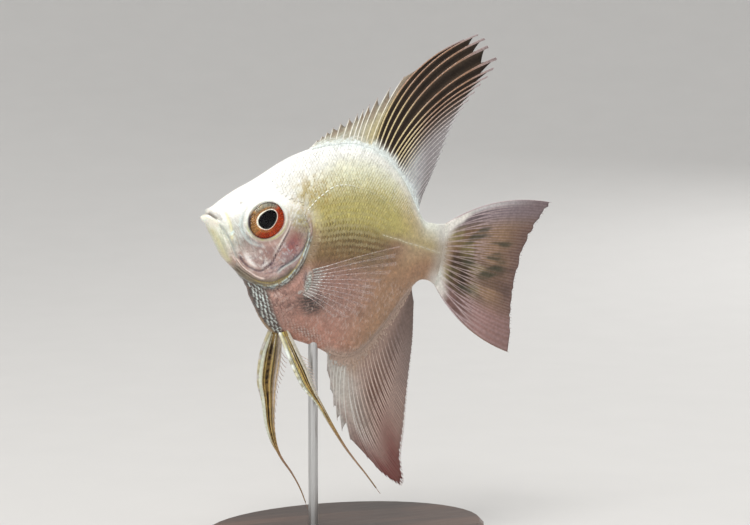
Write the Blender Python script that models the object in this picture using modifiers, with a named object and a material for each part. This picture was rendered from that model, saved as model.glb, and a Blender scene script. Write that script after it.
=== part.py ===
"""Freshwater angelfish (Pterophyllum scalare): a still, life-size model on a rod and an oval base.

The fish is drawn in its own axes, in millimetres. x is s, the distance behind the snout; z is h, the
height above the long axis of the body; y is towards the fish's right, so its left side is at -y. One
empty, fish_axes, pitches all of it nose up and sets it above the base. The stand is drawn in the world's
axes, with the floor at z = 0. Median fins are fans of rays, pelvic fins are ribbons along a path, and the
head, jaw, gill covers, trunk and tail stalk are one lofted body that thin cuts divide.
"""

import math

import bmesh
import bpy
import numpy as np
from mathutils import Matrix, Vector

MM = 0.001
GAP = 0.3  # between neighbouring pieces

# Pose: where the snout is, and how far the nose points up.
SNOUT_X = -35.8
SNOUT_Z = 64.0
PITCH = math.radians(11.0)

# Body, from the snout (s = 0) to the root of the tail fin.
BODY_LENGTH = 49.3
BODY_RINGS = 40
BODY_AROUND = 24
RING_SPREAD = 1.3  # above 1, the rings crowd towards the snout
BACK_LINE = (
    (0.0, 0.2), (0.5, 0.5), (0.9, 1.0), (1.5, 1.9), (3.0, 3.6), (5.8, 5.9), (8.1, 7.7), (15.0, 13.4),
    (22.0, 16.9), (28.4, 18.1), (34.0, 16.7), (39.0, 12.6), (42.6, 7.9), (44.0, 6.4), (46.0, 6.0),
    (49.3, 6.5),
)
BELLY_LINE = (
    (0.0, -0.5), (1.0, -1.2), (1.9, -2.3), (3.8, -4.9), (5.2, -6.6), (7.2, -8.1), (8.8, -9.2),
    (10.4, -11.1), (12.7, -14.1), (15.3, -17.4), (16.6, -18.5), (19.0, -19.1), (26.5, -20.4),
    (32.0, -21.7), (34.5, -21.0), (39.0, -15.5), (43.6, -7.2), (45.0, -5.4), (46.5, -4.9),
    (49.3, -5.9),
)
HALF_WIDTH = ((0, 0.8), (1, 1.35), (4, 2.4), (8, 3.4), (12, 4.1), (18, 4.7), (25, 4.6), (32, 3.7),
              (38, 2.7), (43, 2.0), (47, 1.25), (49.3, 0.7))
WIDEST_AT = ((0, -0.3), (5, -1.0), (12, -2.0), (20, -2.0), (30, -0.5), (43, 0.6), (49.3, 0.3))
SHARPNESS = ((0, 0.5), (12, 0.52), (22, 0.62), (40, 0.62), (49.3, 0.55))  # 0.5 is an ellipse

# Cuts that divide the body, as outlines on its side.
HEAD_REAR_EDGE = ((18.2, 24.0), (18.6, 12.0), (18.4, 5.0), (19.3, 1.5), (19.6, -1.5), (19.0, -4.0),
                  (17.2, -7.6), (13.6, -9.8), (10.5, -10.2), (7.6, -12.5))
HEAD_FRONT = -4.0
GILL_COVER = ((18.3, 4.6), (21.5, 1.0), (21.5, -5.0), (18.0, -10.5), (13.0, -11.8), (10.3, -9.3),
              (10.6, -7.6), (12.6, -6.0), (14.6, -3.0), (15.7, 0.5), (16.6, 3.4))
GILL_COVER_INNER = 1.6  # half the width of the head between the two covers
LOWER_JAW = ((-2.0, 0.6), (2.6, -0.4), (4.3, -2.9), (6.2, -5.6), (8.0, -8.2), (7.0, -11.0), (-3.0, -8.0))
STALK_FRONT = 43.6
BEYOND = 12.0  # how far a cutter reaches past the body

# Eyes: flattened, nearly hidden discs with a domed outer face.
EYE_AT = (11.15, 1.25)
EYE_RADIUS = 3.3
EYE_HALF_DEPTH = 1.85
EYE_OUT = 2.6  # centre's distance from the mid-plane
EYE_SQUARENESS = 3.0
EYE_STEPS = 18

# Fins: each key is (ray number, root s, tip s, tip h, bow). Bow is the ray's sag as a share of its length.
FIN_THICKNESS = 0.85  # over a ray
WEB_SHARE = 0.62  # thickness between rays, as a share of that
ROOT_DEPTH = 1.0
DORSAL_SPINES = 12
DORSAL_RAYS = (
    (1, 18.9, 20.0, 17.2, 0.0), (4, 22.2, 22.7, 20.0, 0.02), (7, 26.0, 27.1, 23.4, 0.03),
    (10, 28.6, 30.5, 27.0, 0.04), (12, 30.7, 35.0, 31.8, 0.05), (13, 31.8, 46.0, 40.8, 0.13),
    (14, 32.9, 48.6, 42.2, 0.125), (15, 34.0, 50.6, 40.9, 0.115), (16, 35.0, 53.3, 37.9, 0.10),
    (17, 35.9, 51.4, 34.5, 0.09), (19, 37.2, 48.4, 29.3, 0.07), (21, 38.3, 46.6, 24.6, 0.055),
    (24, 39.9, 45.3, 19.0, 0.045), (27, 41.3, 44.1, 14.5, 0.035), (30, 42.6, 43.1, 10.8, 0.02),
)
ANAL_SPINES = 6
ANAL_RAYS = (
    (1, 29.3, 29.9, -24.4, 0.0), (3, 31.0, 32.6, -30.9, -0.03), (5, 32.6, 35.2, -35.2, -0.05),
    (6, 33.3, 37.2, -36.6, -0.06), (7, 34.0, 44.6, -42.0, -0.10), (8, 34.8, 49.3, -44.1, -0.10),
    (10, 36.0, 48.0, -38.8, -0.08), (12, 37.4, 47.4, -33.2, -0.06), (15, 39.8, 46.6, -25.5, -0.05),
    (18, 42.3, 46.1, -16.0, -0.04), (20, 43.9, 45.2, -9.4, -0.02),
)
# Tail fin: (ray number, root h, tip s, tip h, bow).
TAIL_ROOT_S = 48.5
TAIL_RAYS = ((1, 6.0, 70.3, 13.8, 0.09), (2, 5.1, 69.2, 11.2, 0.07), (4, 3.3, 67.4, 7.0, 0.04),
             (7, 0.5, 66.3, 0.2, 0.0), (10, -2.3, 66.1, -7.0, -0.035), (12, -4.3, 66.7, -12.0, -0.065),
             (13, -5.3, 66.7, -16.0, -0.09))
# Pectoral fin, on the flank: (ray number, root s, root h, tip s, tip h).
PECTORAL_RAYS = ((1, 20.7, -6.5, 37.3, 0.6), (3, 21.3, -7.6, 36.6, -3.6), (5, 21.4, -8.7, 33.9, -8.2),
                 (7, 21.1, -9.9, 31.0, -12.5), (9, 20.6, -10.8, 27.0, -14.2))
PECTORAL_ROOT_Y = 3.9
PECTORAL_FLARE = 2.3
PECTORAL_TIP_IN = 0.5
# Pelvic fins: (path s, path h, distance from the mid-plane, half-width), from the root to the tip.
PELVIC_LEFT = (
    (19.2, -18.2, 1.3, 1.0), (21.9, -22.6, 2.3, 1.3), (23.5, -25.1, 2.9, 1.35), (24.9, -27.2, 3.2, 1.25),
    (26.4, -28.9, 3.4, 0.85), (28.1, -30.7, 3.5, 0.7), (31.5, -34.3, 3.7, 0.5), (34.4, -37.2, 3.8, 0.35),
    (36.8, -39.6, 3.9, 0.3), (39.5, -42.2, 4.0, 0.3), (43.0, -45.4, 4.0, 0.3),
)
PELVIC_RIGHT = (
    (18.6, -18.4, 1.2, 1.2), (19.0, -22.0, 2.4, 2.0), (19.3, -25.0, 3.0, 2.2), (19.7, -28.2, 3.4, 2.05),
    (20.6, -31.4, 3.6, 1.45), (21.7, -35.6, 3.7, 1.05), (23.0, -38.6, 3.8, 0.7), (24.4, -40.7, 3.9, 0.35),
    (25.7, -42.3, 3.9, 0.3), (28.3, -44.8, 4.0, 0.3), (30.5, -47.5, 4.0, 0.3), (32.6, -50.9, 4.0, 0.3),
)
PELVIC_ROWS = 19
PELVIC_ACROSS = 5
PELVIC_FOLD = 0.12  # height of the shallow pleats between the rays, as a share of the half-width
PELVIC_THICKNESS = 0.6

# Stand.
ROD_RADIUS = 0.9
ROD_X = -14.1
ROD_TOP_Z = 43.0
BASE_X = -7.7
BASE_LENGTH = 55.0
BASE_WIDTH = 40.0
BASE_HEIGHT = 5.0
BASE_EDGE = 0.8
BORE_DEPTH = 3.0
BASE_SIDES = 44
ROD_SIDES = 14

COLOURS = {
    "pearl_skin": ((0.86, 0.84, 0.72), 0.38, 0.0),
    "silver_gill": ((0.80, 0.72, 0.68), 0.30, 0.1),
    "fin_ray": ((0.72, 0.66, 0.56), 0.45, 0.0),
    "pelvic_ray": ((0.74, 0.64, 0.42), 0.40, 0.0),
    "clear_fin": ((0.82, 0.78, 0.76), 0.35, 0.0),
    "eye": ((0.55, 0.12, 0.04), 0.12, 0.0),
    "steel": ((0.62, 0.62, 0.62), 0.28, 1.0),
    "dark_wood": ((0.07, 0.045, 0.035), 0.45, 0.0),
}


# ---------------------------------------------------------------- curves and scene helpers


def curve(stations):
    """A smooth function through (x, y) stations: a cubic with the mean slope at each of them."""
    x, y = np.array(stations, float).T
    steps = np.diff(x)
    slopes = np.diff(y) / steps
    inner = (slopes[:-1] * steps[1:] + slopes[1:] * steps[:-1]) / (steps[:-1] + steps[1:])
    tangents = np.concatenate([slopes[:1], inner, slopes[-1:]])

    def at(place):
        place = np.clip(np.asarray(place, float), x[0], x[-1])
        k = np.clip(np.searchsorted(x, place, side="right") - 1, 0, len(steps) - 1)
        u = (place - x[k]) / steps[k]
        start = (1 + 2 * u) * (1 - u) ** 2 * y[k] + u * (1 - u) ** 2 * steps[k] * tangents[k]
        end = u * u * (3 - 2 * u) * y[k + 1] - u * u * (1 - u) * steps[k] * tangents[k + 1]
        return start + end

    return at


def keyed(keys, column):
    """The smooth function of one column of a table, by the table's first column."""
    return curve([(key[0], key[column]) for key in keys])


def smooth_path(points, count):
    """count points on a smooth line through the given ones, evenly spread by their numbers."""
    along = np.linspace(0, len(points) - 1, count)
    columns = [curve(list(enumerate(column)))(along) for column in np.array(points, float).T]
    return np.stack(columns, axis=1)


back_line = curve(BACK_LINE)
belly_line = curve(BELLY_LINE)
half_width = curve(HALF_WIDTH)
widest_at = curve(WIDEST_AT)
sharpness = curve(SHARPNESS)


def clear_scene():
    for obj in list(bpy.data.objects):
        bpy.data.objects.remove(obj)


def new_collection(name):
    made = bpy.data.collections.new(name)
    bpy.context.scene.collection.children.link(made)
    return made


def material(name):
    found = bpy.data.materials.get(name)
    if found:
        return found
    colour, roughness, metallic = COLOURS[name]
    made = bpy.data.materials.new(name)
    made.use_nodes = True
    shader = made.node_tree.nodes["Principled BSDF"]
    shader.inputs["Base Color"].default_value = (*colour, 1.0)
    shader.inputs["Roughness"].default_value = roughness
    shader.inputs["Metallic"].default_value = metallic
    return made


def mesh_object(name, build, collection, parent=None):
    """An object from build(bm), which fills a bmesh in millimetres."""
    bm = bmesh.new()
    build(bm)
    bmesh.ops.scale(bm, vec=(MM, MM, MM), verts=bm.verts)
    mesh = bpy.data.meshes.new(name)
    bm.to_mesh(mesh)
    bm.free()
    made = bpy.data.objects.new(name, mesh)
    collection.objects.link(made)
    made.parent = parent
    return made


def part(name, build, material_name, parent=None):
    made = mesh_object(name, build, PARTS, parent)
    made.data.materials.append(material(material_name))
    made.data.shade_smooth()
    made.data.set_sharp_from_angle(angle=math.radians(40))
    return made


def cutter(name, build, parent=None):
    made = mesh_object(name, build, CUTTERS, parent)
    made.hide_render = True
    made.display_type = "WIRE"
    return made


def boolean(obj, operation, other):
    step = obj.modifiers.new(f"{operation.lower()}_{other.name}", "BOOLEAN")
    step.operation = operation
    step.object = other
    step.solver = "EXACT"


# ---------------------------------------------------------------- body


def body_point(s, angle, grow):
    """A point of the body's skin. Angle 0 is the widest line of the right side and 90 degrees the back."""
    rise = math.sin(angle)
    middle = float(widest_at(s))
    reach = float(back_line(s)) + grow - middle if rise > 0 else middle - float(belly_line(s)) + grow
    across = math.cos(angle)
    out = (float(half_width(s)) + grow) * abs(across) ** (2 * float(sharpness(s)))
    return Vector((s, math.copysign(out, across), middle + reach * rise))


def body(grow=0.0):
    """Fills a bmesh with the whole body: a sphere whose parallels become the body's sections."""

    def build(bm):
        bmesh.ops.create_uvsphere(bm, u_segments=BODY_AROUND, v_segments=BODY_RINGS, radius=1.0)
        for vertex in bm.verts:
            latitude = math.asin(max(-1.0, min(1.0, vertex.co.z)))
            ring = round((latitude / math.pi + 0.5) * BODY_RINGS)
            share = (ring / (BODY_RINGS - 1)) ** RING_SPREAD
            angle = math.atan2(vertex.co.y, vertex.co.x)
            if ring == 0:
                vertex.co = Vector((-grow, 0.0, WIDEST_AT[0][1]))
            elif ring == BODY_RINGS:
                vertex.co = Vector((BODY_LENGTH + GAP / 2 + grow, 0.0, WIDEST_AT[-1][1]))
            else:
                point = body_point(BODY_LENGTH * share, angle, grow)
                point.x += grow if ring == BODY_RINGS - 1 else 0.0
                vertex.co = point

    return build


def slab(outline, y_from, y_to, grow=0.0):
    """Fills a bmesh with an outline on the body's side, drawn out from y_from to y_to."""
    points = np.array(outline, float)
    if grow:
        ahead = np.roll(points, -1, axis=0) - np.roll(points, 1, axis=0)
        outward = np.stack([ahead[:, 1], -ahead[:, 0]], axis=1) / np.linalg.norm(ahead, axis=1)[:, None]
        turn = np.sum(points[:, 0] * np.roll(points[:, 1], -1) - np.roll(points[:, 0], -1) * points[:, 1])
        points = points + grow * math.copysign(1.0, turn) * outward

    def build(bm):
        corners = [bm.verts.new((s, y_from, h)) for s, h in points]
        face = bm.faces.new(corners)
        moved = bmesh.ops.extrude_face_region(bm, geom=[face])["geom"]
        drawn = [v for v in moved if isinstance(v, bmesh.types.BMVert)]
        bmesh.ops.translate(bm, vec=(0, y_to - y_from, 0), verts=drawn)
        bmesh.ops.recalc_face_normals(bm, faces=bm.faces)

    return build


def head_outline():
    rear = smooth_path(HEAD_REAR_EDGE, 30)
    corners = [(HEAD_FRONT, rear[-1, 1]), (HEAD_FRONT, rear[0, 1])]
    return np.concatenate([rear, corners])


def gill_outline():
    closed = GILL_COVER + GILL_COVER[:1]
    return smooth_path(closed, 34)[:-1]


def body_parts(axes):
    """The head, lower jaw, two gill covers, trunk and tail stalk, cut from one body."""
    stalk = ((STALK_FRONT, -20), (BODY_LENGTH + BEYOND, -20), (BODY_LENGTH + BEYOND, 20), (STALK_FRONT, 20))
    region = {
        name: cutter(name + "_region", slab(outline, -BEYOND, BEYOND), axes)
        for name, outline in (("head", head_outline()), ("jaw", LOWER_JAW), ("stalk", stalk))
    }
    clear = {
        name: cutter(name + "_clearance", slab(outline, -BEYOND, BEYOND, GAP), axes)
        for name, outline in (("head", head_outline()), ("jaw", LOWER_JAW), ("stalk", stalk))
    }
    socket_in_belly = cutter("rod_socket", rod_bore(), None)

    head = part("head", body(), "pearl_skin", axes)
    boolean(head, "INTERSECT", region["head"])
    boolean(head, "DIFFERENCE", clear["jaw"])
    jaw = part("lower_jaw", body(), "pearl_skin", axes)
    boolean(jaw, "INTERSECT", region["jaw"])
    for side, sign in (("left", -1), ("right", 1)):
        inner, outer = sign * GILL_COVER_INNER, sign * BEYOND
        cover_region = cutter(f"gill_{side}_region", slab(gill_outline(), inner, outer), axes)
        pocket = cutter(f"gill_{side}_pocket", slab(gill_outline(), inner - sign * GAP, outer, GAP), axes)
        boolean(head, "DIFFERENCE", pocket)
        cover = part(f"gill_cover_{side}", body(), "silver_gill", axes)
        boolean(cover, "INTERSECT", region["head"])
        boolean(cover, "INTERSECT", cover_region)
        eye_part(side, sign, axes)
        boolean(head, "DIFFERENCE", eye_socket(side, sign, axes))

    trunk = part("trunk", body(), "pearl_skin", axes)
    boolean(trunk, "DIFFERENCE", clear["head"])
    boolean(trunk, "DIFFERENCE", clear["stalk"])
    boolean(trunk, "DIFFERENCE", socket_in_belly)
    tail_stalk = part("tail_stalk", body(), "pearl_skin", axes)
    boolean(tail_stalk, "INTERSECT", region["stalk"])
    # The tail stalk keeps a gap to the trunk because the trunk is cut by the grown region.


# ---------------------------------------------------------------- eyes


def eye_profile(grow):
    """Half the outline of a flattened, squarish disc, from its outer pole to its inner one."""
    angles = np.linspace(0.0, math.pi, EYE_STEPS // 2 + 1)
    power = 2.0 / EYE_SQUARENESS
    radius = (EYE_RADIUS + grow) * np.abs(np.sin(angles)) ** power
    depth = (EYE_HALF_DEPTH + grow) * np.sign(np.cos(angles)) * np.abs(np.cos(angles)) ** power
    return np.stack([radius, depth], axis=1)


def eye_turned(bm, grow):
    """Spins the profile about the eye's axis, which is z until the object is turned."""
    points = [bm.verts.new((r, 0.0, d)) for r, d in eye_profile(grow)]
    edges = [bm.edges.new(pair) for pair in zip(points[:-1], points[1:])]
    bmesh.ops.spin(
        bm, geom=points + edges, axis=(0, 0, 1), cent=(0, 0, 0), angle=2 * math.pi,
        steps=EYE_STEPS, use_duplicate=False,
    )
    bmesh.ops.remove_doubles(bm, verts=bm.verts, dist=1e-4)
    bmesh.ops.recalc_face_normals(bm, faces=bm.faces)


def place_eye(obj, sign):
    s, h = EYE_AT
    obj.location = Vector((s, sign * EYE_OUT, h)) * MM
    obj.rotation_euler = (-sign * math.pi / 2, 0, 0)


def eye_part(side, sign, axes):
    place_eye(part(f"eye_{side}", lambda bm: eye_turned(bm, 0.0), "eye", axes), sign)


def eye_socket(side, sign, axes):
    made = cutter(f"eye_socket_{side}", lambda bm: eye_turned(bm, GAP), axes)
    place_eye(made, sign)
    return made


# ---------------------------------------------------------------- fins


def bowed(root, tip, bow, share):
    """Points of a ray that sags to one side: root and tip are (..., 2), share runs from 0 to 1."""
    chord = tip - root
    aside = np.stack([-chord[..., 1], chord[..., 0]], axis=-1)
    control = (root + tip) / 2 + 2 * bow[..., None] * aside
    share = share[..., None]
    return (1 - share) ** 2 * root + 2 * share * (1 - share) * control + share**2 * tip


def fan(roots, tips, bows, rows, notches):
    """A grid of points, rays and the webs between them by rows, whose web edges are drawn in by notches."""
    count = len(roots)
    share = np.linspace(0.0, 1.0, rows)[:, None]
    rays = bowed(roots[None], tips[None], bows[None], np.broadcast_to(share, (rows, count)))
    reach = share * (1 - notches[None])
    ahead = bowed(roots[None, :-1], tips[None, :-1], bows[None, :-1], reach)
    behind = bowed(roots[None, 1:], tips[None, 1:], bows[None, 1:], reach)
    grid = np.empty((rows, 2 * count - 1, 2))
    grid[:, ::2] = rays
    grid[:, 1::2] = (ahead + behind) / 2
    return grid


def sheet(bm, points):
    """A grid primitive whose vertices take the given (rows, columns, 3) places."""
    rows, columns = points.shape[:2]
    bmesh.ops.create_grid(bm, x_segments=columns - 1, y_segments=rows - 1, size=1.0)
    bm.verts.ensure_lookup_table()
    for vertex, place in zip(bm.verts, points.reshape(-1, 3)):
        vertex.co = Vector(place)


def fin(name, points, material_name, axes, thickness=FIN_THICKNESS, web=WEB_SHARE, seat=None):
    """A sheet with thickness, thinner on its odd columns, cut where it would enter the body."""
    made = part(name, lambda bm: sheet(bm, points), material_name, axes)
    columns = points.shape[1]
    ridge = made.vertex_groups.new(name="rays")
    ridge.add([i for i in range(len(made.data.vertices)) if i % columns % 2 == 0], 1.0, "REPLACE")
    shell = made.modifiers.new("thickness", "SOLIDIFY")
    shell.thickness = thickness * MM
    shell.offset = 0.0
    shell.vertex_group = ridge.name
    shell.thickness_vertex_group = web
    if seat:
        boolean(made, "DIFFERENCE", seat)
    return made


def median_fin(name, keys, spines, edge_line, side, sway, axes, seat):
    """The dorsal or anal fin. side is 1 above the body and -1 below it."""
    numbers = np.arange(1, keys[-1][0] + 1)
    root_s = keyed(keys, 1)(numbers)
    tips = np.stack([keyed_tip(keys, 2, numbers, spines), keyed_tip(keys, 3, numbers, spines)], axis=1)
    roots = np.stack([root_s, edge_line(root_s)], axis=1)
    inward = (roots - tips) / np.linalg.norm(roots - tips, axis=1)[:, None]
    roots = roots + ROOT_DEPTH * inward
    bows = np.interp(numbers, [key[0] for key in keys], [key[4] for key in keys])
    spine_web = numbers[:-1] < spines
    notches = np.where(spine_web, 0.20, 0.03)
    flat = fan(roots, tips, bows, 5, notches)
    height = np.linspace(0.0, 1.0, flat.shape[0])[:, None]
    along = np.linspace(0.0, 1.0, flat.shape[1])[None]
    y = sway * height**2 * np.sin(2.2 * math.pi * along + 0.6)
    points = np.stack([flat[..., 0], y, flat[..., 1]], axis=-1)
    return fin(name, points, "fin_ray", axes, seat=seat)


def keyed_tip(keys, column, numbers, spines):
    """Tip places by ray number. The spiny and the soft part are separate curves, because the edge steps there."""
    front = [key for key in keys if key[0] <= spines]
    rear = [key for key in keys if key[0] > spines]
    return np.where(numbers <= spines, keyed(front, column)(numbers), keyed(rear, column)(numbers))


def tail_fin(axes, seat):
    numbers = np.arange(1, TAIL_RAYS[-1][0] + 1)
    roots = np.stack([np.full(len(numbers), TAIL_ROOT_S), keyed(TAIL_RAYS, 1)(numbers)], axis=1)
    tips = np.stack([keyed(TAIL_RAYS, 2)(numbers), keyed(TAIL_RAYS, 3)(numbers)], axis=1)
    bows = keyed(TAIL_RAYS, 4)(numbers)
    flat = fan(roots, tips, bows, 6, np.full(len(numbers) - 1, 0.02))
    along = np.linspace(0.0, 1.0, flat.shape[0])[:, None]
    across = np.linspace(-1.0, 1.0, flat.shape[1])[None]
    y = 1.3 * along**2 * (0.6 - across**2)
    points = np.stack([flat[..., 0], y, flat[..., 1]], axis=-1)
    return fin("tail_fin", points, "fin_ray", axes, seat=seat)


def pectoral_fin(side, sign, axes, seat):
    """A clear fan that leaves the flank within a millimetre of its root and then lies along it."""
    numbers = np.arange(1, PECTORAL_RAYS[-1][0] + 1)
    column = [keyed(PECTORAL_RAYS, k)(numbers) for k in range(1, 5)]
    roots, tips = np.stack(column[:2], axis=1), np.stack(column[2:], axis=1)
    flat = fan(roots, tips, np.full(len(numbers), 0.02), 6, np.full(len(numbers) - 1, 0.05))
    along = np.linspace(0.0, 1.0, flat.shape[0])[:, None]
    out = PECTORAL_ROOT_Y + PECTORAL_FLARE * (1 - np.exp(-along / 0.12)) - PECTORAL_TIP_IN * along**2
    y = sign * np.broadcast_to(out, flat.shape[:2])
    points = np.stack([flat[..., 0], y, flat[..., 1]], axis=-1)
    return fin(f"pectoral_fin_{side}", points, "clear_fin", axes, thickness=0.7, web=0.75, seat=seat)


def pelvic_fin(side, sign, stations, axes, seat):
    """A pleated ribbon of one spine and five rays, which narrows into a long thread."""
    path = smooth_path(stations, PELVIC_ROWS)
    ahead = np.gradient(path[:, :2], axis=0)
    ahead /= np.linalg.norm(ahead, axis=1)[:, None]
    aside = np.stack([-ahead[:, 1], ahead[:, 0]], axis=1)
    across = np.linspace(-1.0, 1.0, PELVIC_ACROSS)
    flat = path[:, None, :2] + (path[:, 3, None] * across)[..., None] * aside[:, None]
    pleat = PELVIC_FOLD * np.cos(math.pi * np.arange(PELVIC_ACROSS)) * path[:, 3, None]
    y = sign * (path[:, 2, None] + pleat)
    points = np.stack([flat[..., 0], y, flat[..., 1]], axis=-1)
    name = f"pelvic_fin_{side}"
    return fin(name, points, "pelvic_ray", axes, thickness=PELVIC_THICKNESS, web=1.0, seat=seat)


# ---------------------------------------------------------------- stand


def upright(radius, z_from, z_to, x, sides):
    """Fills a bmesh with an upright cylinder."""

    def build(bm):
        bmesh.ops.create_cone(
            bm, cap_ends=True, segments=sides, radius1=radius, radius2=radius, depth=z_to - z_from,
            matrix=Matrix.Translation((x, 0, (z_from + z_to) / 2)),
        )

    return build


def rod_bore():
    return upright(ROD_RADIUS + GAP, BASE_HEIGHT - BORE_DEPTH, ROD_TOP_Z + GAP, ROD_X, ROD_SIDES)


def stand():
    def oval(bm):
        upright(BASE_WIDTH / 2, 0.0, BASE_HEIGHT, 0.0, BASE_SIDES)(bm)
        bmesh.ops.scale(bm, vec=(BASE_LENGTH / BASE_WIDTH, 1, 1), verts=bm.verts)
        bmesh.ops.translate(bm, vec=(BASE_X, 0, 0), verts=bm.verts)

    base = part("stand_base", oval, "dark_wood")
    edge = base.modifiers.new("rounded_edge", "BEVEL")
    edge.width = BASE_EDGE * MM
    edge.segments = 1
    edge.limit_method = "ANGLE"
    edge.angle_limit = math.radians(60)
    boolean(base, "DIFFERENCE", cutter("base_bore", rod_bore()))
    rod_foot = BASE_HEIGHT - BORE_DEPTH + GAP
    part("stand_rod", upright(ROD_RADIUS, rod_foot, ROD_TOP_Z, ROD_X, ROD_SIDES), "steel")


def main():
    axes = bpy.data.objects.new("fish_axes", None)
    PARTS.objects.link(axes)
    axes.location = Vector((SNOUT_X, 0, SNOUT_Z)) * MM
    axes.rotation_euler = (0, PITCH, 0)
    seat = cutter("body_clearance", body(GAP), axes)
    body_parts(axes)
    median_fin("dorsal_fin", DORSAL_RAYS, DORSAL_SPINES, back_line, 1, 0.5, axes, seat)
    median_fin("anal_fin", ANAL_RAYS, ANAL_SPINES, belly_line, -1, 0.5, axes, seat)
    tail_fin(axes, seat)
    for side, sign, pelvic in (("left", -1, PELVIC_LEFT), ("right", 1, PELVIC_RIGHT)):
        pectoral_fin(side, sign, axes, seat)
        pelvic_fin(side, sign, pelvic, axes, seat)
    stand()


clear_scene()
PARTS = new_collection("freshwater_angelfish")
CUTTERS = new_collection("cutters")
main()
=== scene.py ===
"""Freshwater angelfish on its rod stand: one skin, solid scales, eyes, rayed fins and a pale studio.

Shapes are worked out in the fish's own axes, in millimetres: s runs back from the snout, y to the fish's
right, and h up from its long axis. row_frame() turns them nose up and sets them above the base.
"""

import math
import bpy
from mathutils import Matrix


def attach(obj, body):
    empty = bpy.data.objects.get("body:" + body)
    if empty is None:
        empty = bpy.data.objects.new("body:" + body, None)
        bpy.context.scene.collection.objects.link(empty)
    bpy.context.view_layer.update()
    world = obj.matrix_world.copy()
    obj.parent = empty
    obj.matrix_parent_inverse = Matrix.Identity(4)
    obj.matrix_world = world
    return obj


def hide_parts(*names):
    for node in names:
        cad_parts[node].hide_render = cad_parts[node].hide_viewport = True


bl_info = {
    "name": "Freshwater angelfish",
    "version": (1, 0, 0),
    "blender": (4, 5, 0),
    "location": "View3D > Sidebar > Angelfish",
    "description": "Skin, scales, eyes and fins of a still freshwater angelfish on a rod stand",
    "category": "Add Mesh",
}

from functools import partial

import bpy
import numpy as np
from bpy.props import FloatProperty, FloatVectorProperty, PointerProperty
from mathutils import Vector

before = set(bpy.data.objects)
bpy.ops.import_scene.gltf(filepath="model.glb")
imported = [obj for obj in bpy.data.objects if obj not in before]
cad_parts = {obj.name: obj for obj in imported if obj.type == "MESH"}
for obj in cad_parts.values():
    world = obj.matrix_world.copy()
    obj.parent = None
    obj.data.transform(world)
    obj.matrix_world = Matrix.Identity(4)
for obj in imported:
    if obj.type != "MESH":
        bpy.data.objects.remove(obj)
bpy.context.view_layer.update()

MM = 0.001
SNOUT_X, SNOUT_Z = -35.8, 64.0
PITCH = math.radians(11.0)
LEFT, RIGHT = -1, 1

# ---------------------------------------------------------------- named shapes, as on the solids

BODY_LENGTH = 49.3
BACK_LINE = (
    (0.0, -0.02), (0.12, 0.14), (0.3, 0.25), (0.55, 0.40), (0.68, 0.88), (0.88, 1.34), (1.25, 1.75), (1.8, 2.2),
    (3.0, 3.45), (5.5, 5.75), (8.1, 7.7), (15.0, 13.4), (22.0, 16.9), (28.4, 18.1), (34.0, 16.7), (39.0, 12.6),
    (42.6, 7.9), (44.0, 6.4), (46.0, 6.0), (49.3, 6.5),
)
BELLY_LINE = (
    (0.0, -0.46), (0.12, -0.72), (0.3, -0.9), (0.7, -1.1), (1.2, -1.38), (1.9, -2.36), (3.8, -4.9), (5.2, -6.6),
    (7.2, -8.1), (8.8, -9.2), (10.4, -11.1), (12.7, -14.1), (15.3, -17.4), (16.6, -18.5), (19.0, -19.1),
    (26.5, -20.4), (32.0, -21.7), (34.5, -21.0), (39.0, -15.5), (43.6, -7.2), (45.0, -5.4), (46.5, -4.9),
    (49.3, -5.9),
)
HALF_WIDTH = ((0, 0.35), (0.15, 0.6), (0.4, 0.88), (1, 1.3), (4, 2.4), (8, 3.4), (12, 4.1), (18, 4.7),
              (25, 4.6), (32, 3.7), (38, 2.7), (43, 2.0), (47, 1.15), (49.3, 0.55))
WIDEST_AT = ((0, -0.21), (0.5, -0.28), (5, -1.0), (12, -2.0), (20, -2.0), (30, -0.5), (43, 0.6), (49.3, 0.3))
SHARPNESS = ((0, 0.5), (12, 0.52), (22, 0.62), (40, 0.62), (49.3, 0.55))

NOSE_CAP, TAIL_CAP = 0.08, 0.25  # how far the rounded ends stand out

# Lines on the side of the head and body.
GAPE = ((0.3, 0.34), (0.62, 0.52), (1.0, 0.56), (1.5, 0.38), (2.0, 0.10), (2.8, -0.28))
LIP_TROUGH = ((0.95, 0.80), (1.4, 0.62), (1.9, 0.32), (2.5, -0.02), (3.0, -0.3))
UPPER_LIP = ((0.5, 1.0), (0.9, 1.22), (1.5, 1.15), (2.2, 0.8), (2.8, 0.3), (3.2, -0.2))
LIP_FURROW = ((1.85, 2.05), (2.3, 1.7), (2.8, 1.1), (3.2, 0.4), (3.5, -0.5))
LOWER_LIP = ((0.0, 0.0), (0.6, 0.02), (1.2, -0.12), (1.9, -0.45), (2.6, -0.85), (3.0, -1.2))
MAXILLA = ((3.6, 1.5), (4.3, 0.4), (4.9, -0.8), (5.4, -2.2), (5.6, -3.2))
JAW_RIDGE = ((0.7, -0.5), (2.2, -2.3), (3.6, -3.9), (5.1, -5.9), (6.6, -7.2))
JAW_FURROW = ((3.1, -0.9), (4.3, -2.1), (5.4, -3.4), (6.4, -4.9), (7.4, -6.3))
PREOPERCLE = ((15.9, 1.8), (15.6, 0.2), (14.8, -2.0), (14.0, -4.3), (13.5, -6.0), (12.8, -7.0),
              (11.8, -8.0), (10.1, -7.7), (8.5, -6.8), (7.4, -5.4))
INTEROPERCLE = ((7.2, -6.4), (8.9, -7.8), (10.3, -8.55), (11.6, -9.1), (12.8, -9.2), (13.8, -8.7))
MEMBRANE_FOLD = ((7.6, -7.9), (9.5, -8.95), (11.7, -9.8), (13.6, -9.85), (15.0, -9.35), (16.7, -8.1),
                 (17.7, -6.5))
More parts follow.
